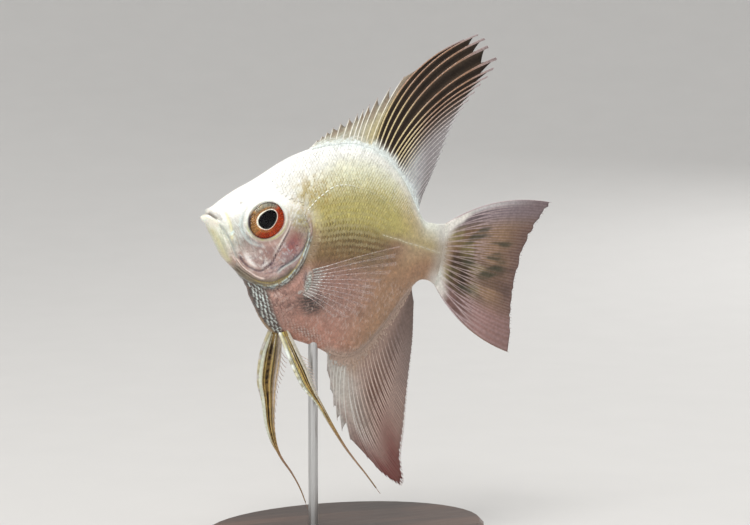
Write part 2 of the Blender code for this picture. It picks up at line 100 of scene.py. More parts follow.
OPERCLE_EDGE = ((16.4, 4.7), (18.0, 3.4), (19.0, 1.2), (19.2, -1.0), (18.8, -2.6), (18.0, -4.1),
                (16.9, -5.3), (15.6, -6.4), (14.6, -7.6))
BREAST_LINE = ((9.6, -9.9), (12.4, -13.3), (15.2, -16.4), (18.4, -18.4))
GILL_SLIT = ((17.6, 4.9), (19.4, 2.8), (20.1, 0.2), (19.9, -1.9), (19.3, -4.9), (18.4, -7.1),
             (16.9, -9.2), (14.7, -10.6), (11.9, -10.7), (9.6, -9.8), (8.2, -8.9))
LATERAL_UPPER = ((18.4, 4.3), (19.0, 5.1), (20.0, 6.5), (21.2, 7.7), (22.9, 9.2), (24.7, 9.9),
                 (26.3, 10.1), (28.0, 10.0), (30.0, 9.8), (32.0, 9.3), (34.6, 8.1), (37.2, 6.5))
LATERAL_LOWER = ((34.6, 2.2), (36.3, 2.0), (38.6, 1.8), (40.2, 1.5), (42.7, 1.3), (45.9, 0.9), (48.6, 0.6))
NOSTRIL = (6.4, 3.5)
PORE = (5.4, -2.0)
# Nostril and pores as pits: (place, radius, depth).
HEAD_PITS = ((NOSTRIL, 0.24, 0.2), (PORE, 0.16, 0.1), ((8.3, -4.2), 0.13, 0.08), ((4.6, 2.9), 0.1, 0.07))
EYE = (11.2, 1.25)
EYE_RADIUS = 3.24
EYE_OUT = 3.78  # distance of the iris plane from the mid-plane
EYE_LEAN = 0.14  # how far back the eye leans for each millimetre upwards
EYE_TALL = 1.04  # its height over its width
EYE_RING, EYE_GROOVE = 3.55, 4.35  # radii of the raised ring round the eye and of the groove outside it
PECTORAL_BASE = (21.1, -8.7)

# Where scales grow: the trunk behind the head, and fields of their own on the breast, cheek and gill cover.
TRUNK_FIELD = ((9.5, 30), (10.4, 8.6), (12.0, 6.9), (14.4, 5.6), (16.6, 5.3), (18.2, 4.9), (19.7, 3.0),
               (20.4, 0.2), (20.2, -2.0), (19.6, -5.1), (18.7, -7.4), (17.1, -9.5), (14.8, -10.9),
               (11.8, -11.0), (9.4, -10.1), (8.0, -30), (49.4, -30), (49.4, 30))
BREAST_FIELD = ((9.0, -9.9), (11.8, -11.0), (14.6, -11.0), (16.6, -12.4), (18.8, -15.6), (20.4, -19.5),
                (14.0, -19.5), (8.0, -13.0))
CHEEK_FIELD = ((9.2, -3.4), (11.6, -3.4), (13.6, -2.6), (14.4, -1.6), (13.7, -4.2), (13.1, -6.0),
               (11.9, -7.3), (10.2, -6.8), (8.8, -5.4))
OPERCLE_FIELD = ((16.4, 3.9), (16.2, 0.5), (15.3, -2.0), (14.6, -4.3), (14.4, -6.0), (15.5, -5.7),
                 (17.0, -4.6), (18.3, -2.3), (18.7, 0.6), (17.9, 2.6))

# Fins. Each key is (ray number, root s, tip s, tip h, bow as a share of the ray's length).
DORSAL_SPINES, DORSAL_COUNT = 12, 36
DORSAL_RAYS = (
    (1, 18.9, 20.0, 17.2, 0.0), (4, 22.2, 22.7, 20.0, 0.02), (7, 26.0, 27.1, 23.4, 0.03),
    (10, 28.6, 30.5, 27.0, 0.04), (12, 30.7, 35.0, 31.8, 0.05), (13, 31.8, 45.6, 40.7, 0.13),
    (14, 32.6, 48.4, 42.3, 0.125), (15, 33.4, 50.0, 41.8, 0.12), (16, 34.2, 50.9, 40.5, 0.11),
    (17, 34.9, 53.2, 38.6, 0.10), (18, 35.5, 52.8, 36.6, 0.09), (20, 36.5, 50.6, 33.2, 0.08),
    (23, 37.8, 47.9, 28.3, 0.065), (26, 38.9, 46.4, 24.4, 0.05), (29, 40.0, 45.4, 19.6, 0.045),
    (33, 41.5, 44.1, 14.2, 0.03), (36, 42.6, 43.1, 10.6, 0.02),
)
ANAL_SPINES, ANAL_COUNT = 6, 32
ANAL_RAYS = (
    (1, 29.3, 29.9, -24.4, 0.0), (3, 31.0, 32.6, -30.9, -0.03), (5, 32.6, 35.2, -35.2, -0.05),
    (6, 33.3, 37.2, -36.6, -0.06), (7, 34.0, 44.6, -42.0, -0.10), (9, 34.9, 49.3, -44.1, -0.10),
    (12, 36.0, 48.0, -38.8, -0.08), (16, 37.6, 47.4, -33.2, -0.06), (21, 39.8, 46.6, -25.5, -0.05),
    (27, 42.3, 46.1, -16.0, -0.04), (32, 43.9, 45.2, -9.4, -0.02),
)
TAIL_COUNT, TAIL_ROOT_S = 17, 48.6
TAIL_RAYS = (  # (ray number, root h, tip s, tip h, bow)
    (1, 6.0, 70.3, 13.8, 0.09), (2, 5.3, 69.6, 12.2, 0.08), (5, 3.3, 67.4, 7.0, 0.04),
    (9, 0.5, 66.3, 0.2, 0.0), (13, -2.3, 66.1, -7.0, -0.035), (16, -4.6, 66.7, -12.6, -0.07),
    (17, -5.3, 66.7, -16.0, -0.09),
)
PECTORAL_COUNT = 12
PECTORAL_RAYS = (  # (ray number, root s, root h, tip s, tip h)
    (1, 20.7, -6.5, 37.3, 0.6), (2, 21.0, -6.9, 36.6, -1.2), (3, 21.2, -7.3, 37.4, -2.6),
    (5, 21.4, -8.0, 34.6, -6.2), (7, 21.4, -8.8, 33.7, -8.8), (9, 21.2, -9.6, 32.6, -11.4),
    (11, 20.8, -10.5, 29.2, -13.8), (12, 20.5, -10.9, 26.4, -14.0),
)
PECTORAL_ROOT_Y, PECTORAL_FLARE, PECTORAL_TIP_IN = 3.9, 2.3, 0.5
PELVIC_PATH = {  # (path s, path h, distance from the mid-plane, half-width)
    LEFT: (
        (19.2, -18.2, 1.3, 1.0), (21.9, -22.6, 2.3, 1.3), (23.5, -25.1, 2.9, 1.35),
        (24.9, -27.2, 3.2, 1.15), (26.4, -28.9, 3.4, 0.72), (28.1, -30.7, 3.5, 0.52),
        (31.3, -34.4, 3.7, 0.34), (34.2, -37.5, 3.8, 0.22), (36.7, -39.8, 3.9, 0.16),
        (39.5, -42.2, 4.0, 0.13), (43.0, -45.4, 4.0, 0.07),
    ),
    RIGHT: (
        (18.6, -18.4, 1.2, 1.2), (19.0, -22.0, 2.4, 2.0), (19.3, -25.0, 3.0, 2.2), (19.7, -28.2, 3.4, 2.05),
        (20.6, -31.4, 3.6, 1.45), (21.7, -35.6, 3.7, 1.0), (23.0, -38.6, 3.8, 0.65), (24.4, -40.7, 3.9, 0.3),
        (25.7, -42.3, 3.9, 0.2), (28.3, -44.8, 4.0, 0.15), (30.5, -47.5, 4.0, 0.12),
        (32.6, -50.9, 4.0, 0.06),
    ),
}
PELVIC_SPINE_END = 0.42  # share of the path where the spine's tip stands free
PELVIC_SPINE = {  # (colour, strength of its dark specks, radius at the root, where it ends)
    LEFT: ((0.82, 0.86, 0.80), 0.4, 0.29, PELVIC_SPINE_END),
    RIGHT: ((0.50, 0.47, 0.43), 0.3, 0.33, PELVIC_SPINE_END - 0.06),
}
PELVIC_LANES = (-0.52, -0.20, 0.13, 0.46, 0.84)  # the soft rays' places across the ribbon
FORK_OVERLAP = 0.02  # how far a branch starts inside its stem, as a share of the ray

# Meshes: steps round half a section, rings and points of the eyeball and the cornea.
GIRTH_STEPS = 360
EYE_FRONT_RINGS, EYE_AROUND = 62, 128
EYE_BACK_RADII = (1.0, 0.98, 0.93, 0.86, 0.76, 0.62, 0.46, 0.3, 0.15, 0.04, 0.01, 0.002)
CORNEA_RINGS, CORNEA_AROUND = 15, 64

# A scale's grid, its shares along, and its length and width over the pitch and the row spacing.
SCALE_ROWS, SCALE_COLUMNS = 5, 5
SCALE_ALONG = np.array([0.0, 0.3, 0.62, 0.9, 1.0])
SCALE_LONG, SCALE_WIDE = 2.15, 2.2

# Arms of the lateral line: (line, scales, height over the skin, radius, thinning, first and last colour).
LATERAL_ARMS = (
    (LATERAL_UPPER, 21, 0.14, 0.12, 0.45, (0.92, 0.92, 0.82), (0.54, 0.48, 0.24)),
    (LATERAL_LOWER, 13, 0.11, 0.07, 0.25, (0.72, 0.66, 0.50), (0.60, 0.55, 0.46)),
)

# Colours that several pieces share: the tail stalk with the tail's root, and the pupil.
STALK_PALE, STALK_DUSKY = (0.74, 0.71, 0.66), (0.47, 0.40, 0.33)
PUPIL_BLACK = (0.003, 0.003, 0.004)


# ---------------------------------------------------------------- settings


def colour_setting(name, words, value):
    """A colour property with its name and description."""
    return FloatVectorProperty(name=name, description=words, subtype="COLOR", size=3, min=0, max=1,
                               default=value)


def size_setting(name, words, value, low, high):
    """A number's property with its name, description and range."""
    return FloatProperty(name=name, description=words, default=value, min=low, max=high)


class AngelfishSkin(bpy.types.PropertyGroup):
    """Sizes and colours of the skin and its scales."""

    depth: size_setting("Coat depth", "How far the skin lies inside the scales", 0.12, 0.05, 0.4)
    pitch: size_setting("Scale pitch", "Millimetres from one scale to the next along a row", 0.54, 0.3, 2.0)
    row: size_setting("Row spacing", "Millimetres between rows of scales", 0.57, 0.2, 1.5)
    lift: size_setting("Scale lift", "Height of a scale's free edge above the skin, in millimetres", 0.055,
                       0.02, 0.3)
    back: colour_setting("Back", "Pearly white over the back and head", (0.93, 0.92, 0.86))
    flank: colour_setting("Flank", "Olive gold of the upper side", (0.50, 0.43, 0.14))
    bars: colour_setting("Rows", "Brown between the rows of the lower side", (0.085, 0.055, 0.022))
    belly: colour_setting("Belly", "Pink of the thin-skinned belly", (0.41, 0.225, 0.18))
    cheek: colour_setting("Cheek", "Dusty pink of the cheek", (0.44, 0.29, 0.25))
    gill: colour_setting("Gill flush", "Red that shows through the gill cover", (0.34, 0.12, 0.12))
    spot: colour_setting("Spot", "Grey spot behind the pectoral fin's root", (0.06, 0.06, 0.055))


class AngelfishEyes(bpy.types.PropertyGroup):
    """Sizes and colours of the eyes."""

    pupil: size_setting("Pupil", "Mean radius of the pupil in millimetres", 1.70, 0.5, 2.5)
    red: colour_setting("Iris red", "Rear and lower part of the iris", (0.40, 0.045, 0.010))
    olive: colour_setting("Iris olive", "Upper and front part of the iris", (0.20, 0.125, 0.055))
    ring: colour_setting("Pupil ring", "Pale ring round the pupil", (0.96, 0.93, 0.80))


class AngelfishFins(bpy.types.PropertyGroup):
    """Sizes and colours of the fins."""

    ray: size_setting("Ray radius", "Radius of a strong ray near its root, in millimetres", 0.2, 0.05, 0.5)
    web: size_setting("Web thickness", "Thickness of the webs in millimetres", 0.1, 0.04, 0.4)
    spine: colour_setting("Spines", "Bluish white of the spines", (0.74, 0.72, 0.64))
    soft: colour_setting("Soft rays", "Yellowish cream of the soft rays", (0.62, 0.50, 0.27))
    lilac: colour_setting("Lilac", "Outer ends of the rays", (0.42, 0.33, 0.33))
    streak: colour_setting("Streaks", "Brown-black pigment between the rays", (0.022, 0.012, 0.007))
    gold: colour_setting("Gold", "Pelvic fins", (0.31, 0.205, 0.07))


class AngelfishStand(bpy.types.PropertyGroup):
    """Finish of the stand."""

    wood: colour_setting("Wood", "Dark wood of the base", (0.045, 0.026, 0.018))
    steel: colour_setting("Steel", "Brushed rod", (0.55, 0.55, 0.55))


class AngelfishStage(bpy.types.PropertyGroup):
    """Camera, floor and lights."""

    azimuth: FloatProperty(
        name="Camera turn", description="Round the fish, from its left side towards its snout",
        subtype="ANGLE", default=math.radians(-25))
    elevation: FloatProperty(name="Camera height", description="Angle above the horizon",
                             subtype="ANGLE", default=math.radians(6))
    distance: FloatProperty(name="Camera distance", description="From the point that it looks at",
                            unit="LENGTH", default=0.40)
    lens: FloatProperty(name="Lens", description="Focal length in millimetres, on a 36 mm sensor",
                        default=103.2)
    floor: colour_setting("Floor", "Pale floor", (0.60, 0.59, 0.575))
    key: FloatProperty(name="Key light", description="Power of the overhead softbox in watts", default=9.6,
                       min=0)
    fill: FloatProperty(name="Fill light", description="Power of the softbox on the camera's side in watts",
                        default=1.0, min=0)
    rim: FloatProperty(name="Rim light", description="Power of the strip behind the fins in watts",
                       default=0.5, min=0)


# ---------------------------------------------------------------- curves and places


def curve(stations):
    """A smooth function through (x, y) stations: a cubic with the mean slope at each of them."""
    x, y = np.array(stations, float).T
    steps = np.diff(x)
    slopes = np.diff(y) / steps
    inner = (slopes[:-1] * steps[1:] + slopes[1:] * steps[:-1]) / (steps[:-1] + steps[1:])
    tangents = np.concatenate([slopes[:1], inner, slopes[-1:]])

    def at(place):
        place = np.clip(np.asarray(place, float), x[0], x[-1])
        k = np.clip(np.searchsorted(x, place, side="right") - 1, 0, len(steps) - 1)
        u = (place - x[k]) / steps[k]
        start = (1 + 2 * u) * (1 - u) ** 2 * y[k] + u * (1 - u) ** 2 * steps[k] * tangents[k]
        end = u * u * (3 - 2 * u) * y[k + 1] - u * u * (1 - u) * steps[k] * tangents[k + 1]
        return start + end

    return at


def keyed(keys, column):
    """The smooth function of one column of a table, by the table's first column."""
    return curve([(key[0], key[column]) for key in keys])


def smooth_path(points, count):
    """count points on a smooth line through the given ones, evenly spread by their numbers."""
    along = np.linspace(0, len(points) - 1, count)
    return np.stack([curve(list(enumerate(column)))(along) for column in np.array(points, float).T], axis=1)


back_line, belly_line = curve(BACK_LINE), curve(BELLY_LINE)
half_width, widest_at, sharpness = curve(HALF_WIDTH), curve(WIDEST_AT), curve(SHARPNESS)


def row_frame(points):
    """Body axes in millimetres to the row frame in metres: turned about y by the pitch, then moved to the
    snout."""
    s, y, h = np.moveaxis(np.asarray(points, float), -1, 0)
    x = SNOUT_X + s * math.cos(PITCH) + h * math.sin(PITCH)
    z = SNOUT_Z - s * math.sin(PITCH) + h * math.cos(PITCH)
    return np.stack([x, y, z], axis=-1) * MM


def unit(vectors):
    """Each vector over its own length."""
    return vectors / np.maximum(np.linalg.norm(vectors, axis=-1, keepdims=True), 1e-12)


def run_lengths(paths):
    """The distance travelled at each point of many paths: the sum of the steps up to it."""
    steps = np.linalg.norm(np.diff(paths, axis=1), axis=-1)
    return np.concatenate([np.zeros((len(paths), 1)), np.cumsum(steps, axis=1)], axis=1)


def smooth(low, high, x):
    """0 below low, 1 above high, and a smooth step between them."""
    t = np.clip((x - low) / (high - low), 0.0, 1.0)
    return t * t * (3 - 2 * t)


def bell(x, centre, width, power=2):
    """A bell curve, 1 at its centre: the exponential of minus the distance in widths, to a power."""
    return np.exp(-(((x - centre) / width) ** power))


def wave(x, length):
    """A cosine wave from 0 to 1, with its crest at 0."""
    return 0.5 + 0.5 * np.cos(2 * math.pi * x / length)


def to_line(s, h, line, count=28):
    """Signed distance from places to a smooth line, positive to the left of its way, and the share along it of
    the nearest point. The least distance to each of its short pieces is kept."""
    knots = smooth_path(line, count)
    best = np.full(np.shape(s), 1e9)
    share = np.zeros(np.shape(s))
    for k, (a, b) in enumerate(zip(knots[:-1], knots[1:])):
        way = b - a
        length = math.hypot(*way)
        t = np.clip(((s - a[0]) * way[0] + (h - a[1]) * way[1]) / length**2, 0.0, 1.0)
        off_s, off_h = s - a[0] - t * way[0], h - a[1] - t * way[1]
        distance = np.hypot(off_s, off_h)
        near = distance < np.abs(best)
        left = np.where(way[0] * off_h - way[1] * off_s >= 0, 1.0, -1.0)
        best = np.where(near, distance * left, best)
        share = np.where(near, (k + t) / (count - 1), share)
    return best, share


def shifted(line, along, up):
    """A line moved along the body and upwards."""
    return tuple((s + along, h + up) for s, h in line)


def cloud(x, y, seed):
    """Smooth random values from 0 to 1: a seeded grid of them, blended between its corners."""
    size = 64
    grid = np.random.default_rng(seed).random((size, size))
    low_x, low_y = np.floor(x).astype(int), np.floor(y).astype(int)
    part_x, part_y = smooth(0, 1, x - low_x), smooth(0, 1, y - low_y)
    left, right, low, high = low_x % size, (low_x + 1) % size, low_y % size, (low_y + 1) % size
    near = grid[left, low] * (1 - part_x) + grid[right, low] * part_x
    far = grid[left, high] * (1 - part_x) + grid[right, high] * part_x
    return near * (1 - part_y) + far * part_y


def streaks(s, h, turn, long, short, seed):
    """The random values drawn out along a direction, given in degrees: two layers, the second one finer."""
    turn = math.radians(turn)
    along, across = s * math.cos(turn) + h * math.sin(turn), h * math.cos(turn) - s * math.sin(turn)
    coarse = cloud(along / long, across / short, seed)
    fine = cloud(2.1 * along / long, 2.1 * across / short, seed + 50)
    return 0.62 * coarse + 0.38 * fine


def inside(s, h, field):
    """True where a place lies inside a closed outline: the line from it to the right crosses the outline an odd
    number of times."""
    within = np.zeros(np.shape(s), bool)
    corners = list(field)
    for (s0, h0), (s1, h1) in zip(corners, corners[1:] + corners[:1]):
        crosses = (h0 > h) != (h1 > h)
        reach = s0 + (h - h0) * (s1 - s0) / (h1 - h0 if h1 != h0 else 1e-9)
        within ^= crosses & (s < reach)
    return within


# ---------------------------------------------------------------- meshes


def grid_faces(rows, columns, wrap=False):
    """Corner numbers of the quads of a grid, whose last column joins the first where it wraps."""
    row = np.arange(rows - 1)[:, None]
    column = np.arange(columns if wrap else columns - 1)[None]
    ahead = (column + 1) % columns
    return np.stack([row * columns + column, row * columns + ahead,
                     (row + 1) * columns + ahead, (row + 1) * columns + column], axis=-1).reshape(-1, 4)


def rim_loop(rows, columns):
    """The numbers round the edge of a grid, in order."""
    n = np.arange(rows * columns).reshape(rows, columns)
    return np.concatenate([n[0, :-1], n[:-1, -1], n[-1, :0:-1], n[:0:-1, 0]])


def closed_rings(points, first, last):
    """Rings of points as a closed surface: the grid joined round, with a fan of triangles to a point at each
    end."""
    rows, columns = points.shape[:2]
    count = rows * columns
    k = np.arange(columns)
    ahead = (k + 1) % columns
    front = np.stack([np.full(columns, count), ahead, k], axis=1)
    rear = np.stack([np.full(columns, count + 1), count - columns + k, count - columns + ahead], axis=1)
    flat = np.concatenate([points.reshape(-1, 3), [first, last]])
    return flat, [grid_faces(rows, columns, wrap=True), np.concatenate([front, rear])]


def make_piece(name, points, faces, material, colours=None, maps=None):
    """One object from a joined surface: points, lists of faces by corner count, a colour and UVs for each
    point. Faces are turned if the surface holds a negative volume."""
    places = row_frame(points)
    loops = np.concatenate([block.ravel() for block in faces])
    sizes = np.concatenate([np.full(len(block), block.shape[1]) for block in faces])
    volume = 0.0
    for block in faces:
        for k in range(1, block.shape[1] - 1):
            a, b, c = places[block[:, 0]], places[block[:, k]], places[block[:, k + 1]]
            volume += np.sum(a * np.cross(b, c))
    if volume < 0:
        loops = np.concatenate([block[:, ::-1].ravel() for block in faces])
    mesh = bpy.data.meshes.new(name)
    mesh.vertices.add(len(places))
    mesh.vertices.foreach_set("co", places.ravel())
    mesh.loops.add(len(loops))
    mesh.loops.foreach_set("vertex_index", loops)
    mesh.polygons.add(len(sizes))
    mesh.polygons.foreach_set("loop_start", np.concatenate([[0], np.cumsum(sizes)[:-1]]))
    mesh.update(calc_edges=True)
    for title, values in (maps or {}).items():
        mesh.uv_layers.new(name=title).data.foreach_set("uv", np.asarray(values, float)[loops].ravel())
    if colours is not None:
        tint = colours if colours.shape[1] == 4 else rgba(colours, 1.0)
        mesh.attributes.new("tint", "FLOAT_COLOR", "POINT").data.foreach_set("color", tint.ravel())
    if mesh.validate():
        raise RuntimeError(name + " has faulty faces")
    mesh.shade_smooth()
    made = bpy.data.objects.new(name, mesh)
    bpy.context.scene.collection.objects.link(made)
    made.data.materials.append(material)
    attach(made, "root")
    return made


def sheet_solid(points, thickness, tint):
    """A closed web: two copies of a grid of points, moved half the thickness each way along its normals and
    joined round the rim, each with the grid's colours."""
    rows, columns = points.shape[:2]
    normal = unit(np.cross(np.gradient(points, axis=0), np.gradient(points, axis=1)))
    half = normal * np.asarray(thickness)[..., None] / 2
    both = np.concatenate([(points + half).reshape(-1, 3), (points - half).reshape(-1, 3)])
    face, rim = grid_faces(rows, columns), rim_loop(rows, columns)
    ahead = np.roll(rim, -1)
    count = rows * columns
    edge = np.stack([rim, rim + count, ahead + count, ahead], axis=1)
    colours = tint.reshape(-1, 4)
    return both, [np.concatenate([face, face[:, ::-1] + count, edge])], np.concatenate([colours, colours])


def tubes(paths, radii, sides=6, flatten=1.0):
    """Closed round rods along many paths at once: at each point a ring stands across the path, flattened along
    y, and each end closes on a point just beyond."""
    count, steps = paths.shape[:2]
    ahead = unit(np.gradient(paths, axis=1))
    aside = unit(np.cross(ahead, np.array([0.0, 1.0, 0.0])))
    up = np.cross(aside, ahead)
    turn = 2 * math.pi * np.arange(sides) / sides
    across = np.cos(turn)[:, None] * aside[:, :, None] + flatten * np.sin(turn)[:, None] * up[:, :, None]
    rings = (paths[:, :, None] + radii[..., None, None] * across).reshape(count, -1, 3)
    first = paths[:, 0] - ahead[:, 0] * radii[:, :1]
    last = paths[:, -1] + ahead[:, -1] * radii[:, -1:]
    points = np.concatenate([rings, first[:, None], last[:, None]], axis=1)
    each = steps * sides + 2
    base = (np.arange(count) * each)[:, None, None]
    k = np.arange(sides)
    after, ring = (k + 1) % sides, (steps - 1) * sides
    cap = np.stack([np.full(sides, each - 2), after, k], axis=1)
    end = np.stack([np.full(sides, each - 1), ring + k, ring + after], axis=1)
    quads = (grid_faces(steps, sides, wrap=True) + base).reshape(-1, 4)
    triangles = (np.concatenate([cap, end]) + base).reshape(-1, 3)
    return points.reshape(-1, 3), [quads, triangles]


def per_tube(values, sides):
    """Spreads values at the path points of many tubes over their rings and end points."""
    rings = np.repeat(values, sides, axis=1)
    return np.concatenate([rings, values[:, :1], values[:, -1:]], axis=1).reshape(-1, *values.shape[2:])


def join(blocks):
    """Several (points, faces, colours, uvs) as one."""
    offset, points, faces, colours, uvs = 0, [], [], [], []
    for block_points, block_faces, block_colours, block_uvs in blocks:
        points.append(block_points)
        faces += [face + offset for face in block_faces]
        colours.append(block_colours)
        uvs.append(block_uvs)
        offset += len(block_points)
    return np.concatenate(points), faces, np.concatenate(colours), np.concatenate(uvs)


# ---------------------------------------------------------------- the body's surface


def section(s, angle, depth):
    """The body's surface, inside the solids by depth: height follows the sine of the angle up to the back or
    down to the belly, and width its cosine to a power that sharpens both edges."""
    rise, across = np.sin(angle), np.cos(angle)
    middle = widest_at(s)
    reach = np.where(rise > 0, back_line(s) - depth - middle, middle - belly_line(s) - depth)
    out = (half_width(s) - depth) * np.abs(across) ** (2 * sharpness(s))
    return np.stack(np.broadcast_arrays(s, np.copysign(out, across), middle + reach * rise), axis=-1)


def section_normal(s, angle, depth):
    """Outward directions, from the differences of the surface along s and round the section."""
    step = 1e-3
    along = section(s + step, angle, depth) - section(s - step, angle, depth)
    around = section(s, angle + step, depth) - section(s, angle - step, depth)
    return unit(np.cross(around, along))


def level_of(s, h):
    """Height as a share: 0 on the widest line, 1 on the back and -1 on the belly."""
    middle = widest_at(s)
    return np.where(h > middle, (h - middle) / (back_line(s) - middle), (h - middle) / (middle - belly_line(s)))


def body_thickness(s, h):
    """How thick the body is at a place: twice the half-width, times one minus the square of the height's share,
    to the section's power."""
    return 2 * half_width(s) * np.clip(1 - level_of(s, h) ** 2, 0, 1) ** sharpness(s)


def eye_polar(s, h):
    """Distance from the eye's centre, and the angle round it, 0 towards the tail and a quarter turn upwards.
    Both are measured across the lean of the eye."""
    along, up = s - EYE[0] - EYE_LEAN * (h - EYE[1]), h - EYE[1]
    return np.hypot(along, up), np.arctan2(up, along)


def relief(s, h):
    """How far the skin stands out from the smooth body: lips, folds and plates are ridges, furrows and steps
    along their lines, and the eye, nostril and pores are round pits."""

    def ridge(line, width, height, fade=0.12):
        """A bell curve of the distance from a line, faded out at both of its ends."""
        distance, share = to_line(s, h, line)
        ends = smooth(0, fade, share) * smooth(0, fade, 1 - share) if fade else 1.0
        return height * bell(distance, 0, width) * ends

    def plate(line, softness, height, back=1.4):
        """A step up at a line that falls off again behind it."""
        distance, share = to_line(s, h, line)
        ends = smooth(0, 0.15, share) * smooth(0, 0.15, 1 - share)
        covered = smooth(-softness, softness, distance) * (1 - smooth(back * 0.4, back, distance))
        return height * covered * ends

    total = ridge(GAPE, 0.13, -0.34, 0) * smooth(3.0, 1.4, s) + ridge(LIP_TROUGH, 0.2, -0.2)
    total = total + ridge(UPPER_LIP, 0.34, 0.16, 0) * smooth(3.2, 2.2, s) + ridge(LIP_FURROW, 0.2, -0.12)
    total = total + ridge(LOWER_LIP, 0.3, 0.14, 0) * smooth(3.1, 2.2, s) * smooth(-0.1, 0.6, s)
    total += ridge(MAXILLA, 0.28, 0.09) + ridge(JAW_RIDGE, 0.26, 0.08) + ridge(JAW_FURROW, 0.2, -0.12)
    total += (ridge(PREOPERCLE, 0.15, -0.2) + ridge(INTEROPERCLE, 0.16, 0.09, 0.3)
              + ridge(MEMBRANE_FOLD, 0.1, -0.12))
    total += 0.08 * membrane_pleats(s, h)
    total += plate(OPERCLE_EDGE, 0.16, -0.14) - plate(GILL_SLIT, 0.2, 0.32, 2.2)
    radius, _ = eye_polar(s, h)
    total += -1.1 * smooth(3.28, 2.6, radius) + 0.15 * bell(radius, EYE_RING, 0.2)
    total += -0.09 * bell(radius, EYE_GROOVE, 0.22) * smooth(1.5, -1.0, h)
    cheek = blob(s, h, (11.5, -5.0), (5.0, 3.2), 20, 3.0) + blob(s, h, (17, -4), (2, 4), -20, 3.0)
    snout = smooth(9, 5, s + 0.4 * h)
    total += (0.05 * (streaks(s, h, -50, 1.6, 0.34, 3) - 0.5) * cheek
              + 0.035 * (streaks(s, h, -62, 2.2, 0.3, 4) - 0.5) * snout)
    for (s0, h0), size, deep in HEAD_PITS:
        r = np.hypot(s - s0, h - h0)
        total += -deep * bell(r, 0, size) + 0.25 * deep * bell(r, 1.7 * size, 0.5 * size)
    lump = np.hypot((s - PECTORAL_BASE[0]) / 0.9, (h - PECTORAL_BASE[1]) / 2.7)
    return total + 0.3 * np.exp(-(lump**4))


def membrane_pleats(s, h):
    """Fine folds of the gill membrane: waves by the distance below the lowest plate, where the membrane
    lies."""
    distance, share = to_line(s, h, INTEROPERCLE)
    window = smooth(-0.12, -0.3, distance) * smooth(-1.5, -1.1, distance) * smooth(0.02, 0.12, share)
    return wave(distance + 0.3 + 0.1 * cloud(s / 1.2, h / 1.2, 6), 0.34) * window


def blob(s, h, centre, radii, turn=0.0, power=2.0):
    """A soft-edged ellipse, 1 at its centre: the exponential of minus the distance in radii, to a power."""
    turn = math.radians(turn)
    a = (s - centre[0]) * math.cos(turn) + (h - centre[1]) * math.sin(turn)
    b = -(s - centre[0]) * math.sin(turn) + (h - centre[1]) * math.cos(turn)
    return np.exp(-(np.hypot(a / radii[0], b / radii[1]) ** power))


def mix(base, colour, mask):
    """A straight blend from the base towards a colour, by the mask from 0 to 1."""
    return base + (np.asarray(colour, float) - base) * np.clip(mask, 0, 1)[..., None]


def plain(colour, shape):
    """One colour, spread over places of a given shape."""
    return np.broadcast_to(np.asarray(colour, float), (*shape, 3))


def layers(base, *coats):
    """The base with coats laid over it in turn, each a colour and its mask."""
    for colour, mask in coats:
        base = mix(base, colour, mask)
    return base


def rgba(colour, alpha):
    """A colour and an alpha for each place, as one array."""
    colour, alpha = np.asarray(colour, float), np.asarray(alpha, float)
    shape = np.broadcast_shapes(colour.shape[:-1], alpha.shape)
    return np.concatenate([np.broadcast_to(colour, (*shape, 3)), np.broadcast_to(alpha, shape)[..., None]],
                          axis=-1)


def line_coat(s, h, path, width, colour, strength, start=0.0, stop=1.0):
    """A drawn line as a coat: a bell curve of the distance from it, between two shares of its length."""
    distance, share = to_line(s, h, path)
    ends = smooth(start - 0.06, start + 0.06, share) * smooth(stop + 0.06, stop - 0.06, share)
    return colour, bell(distance, 0, width) * strength * ends


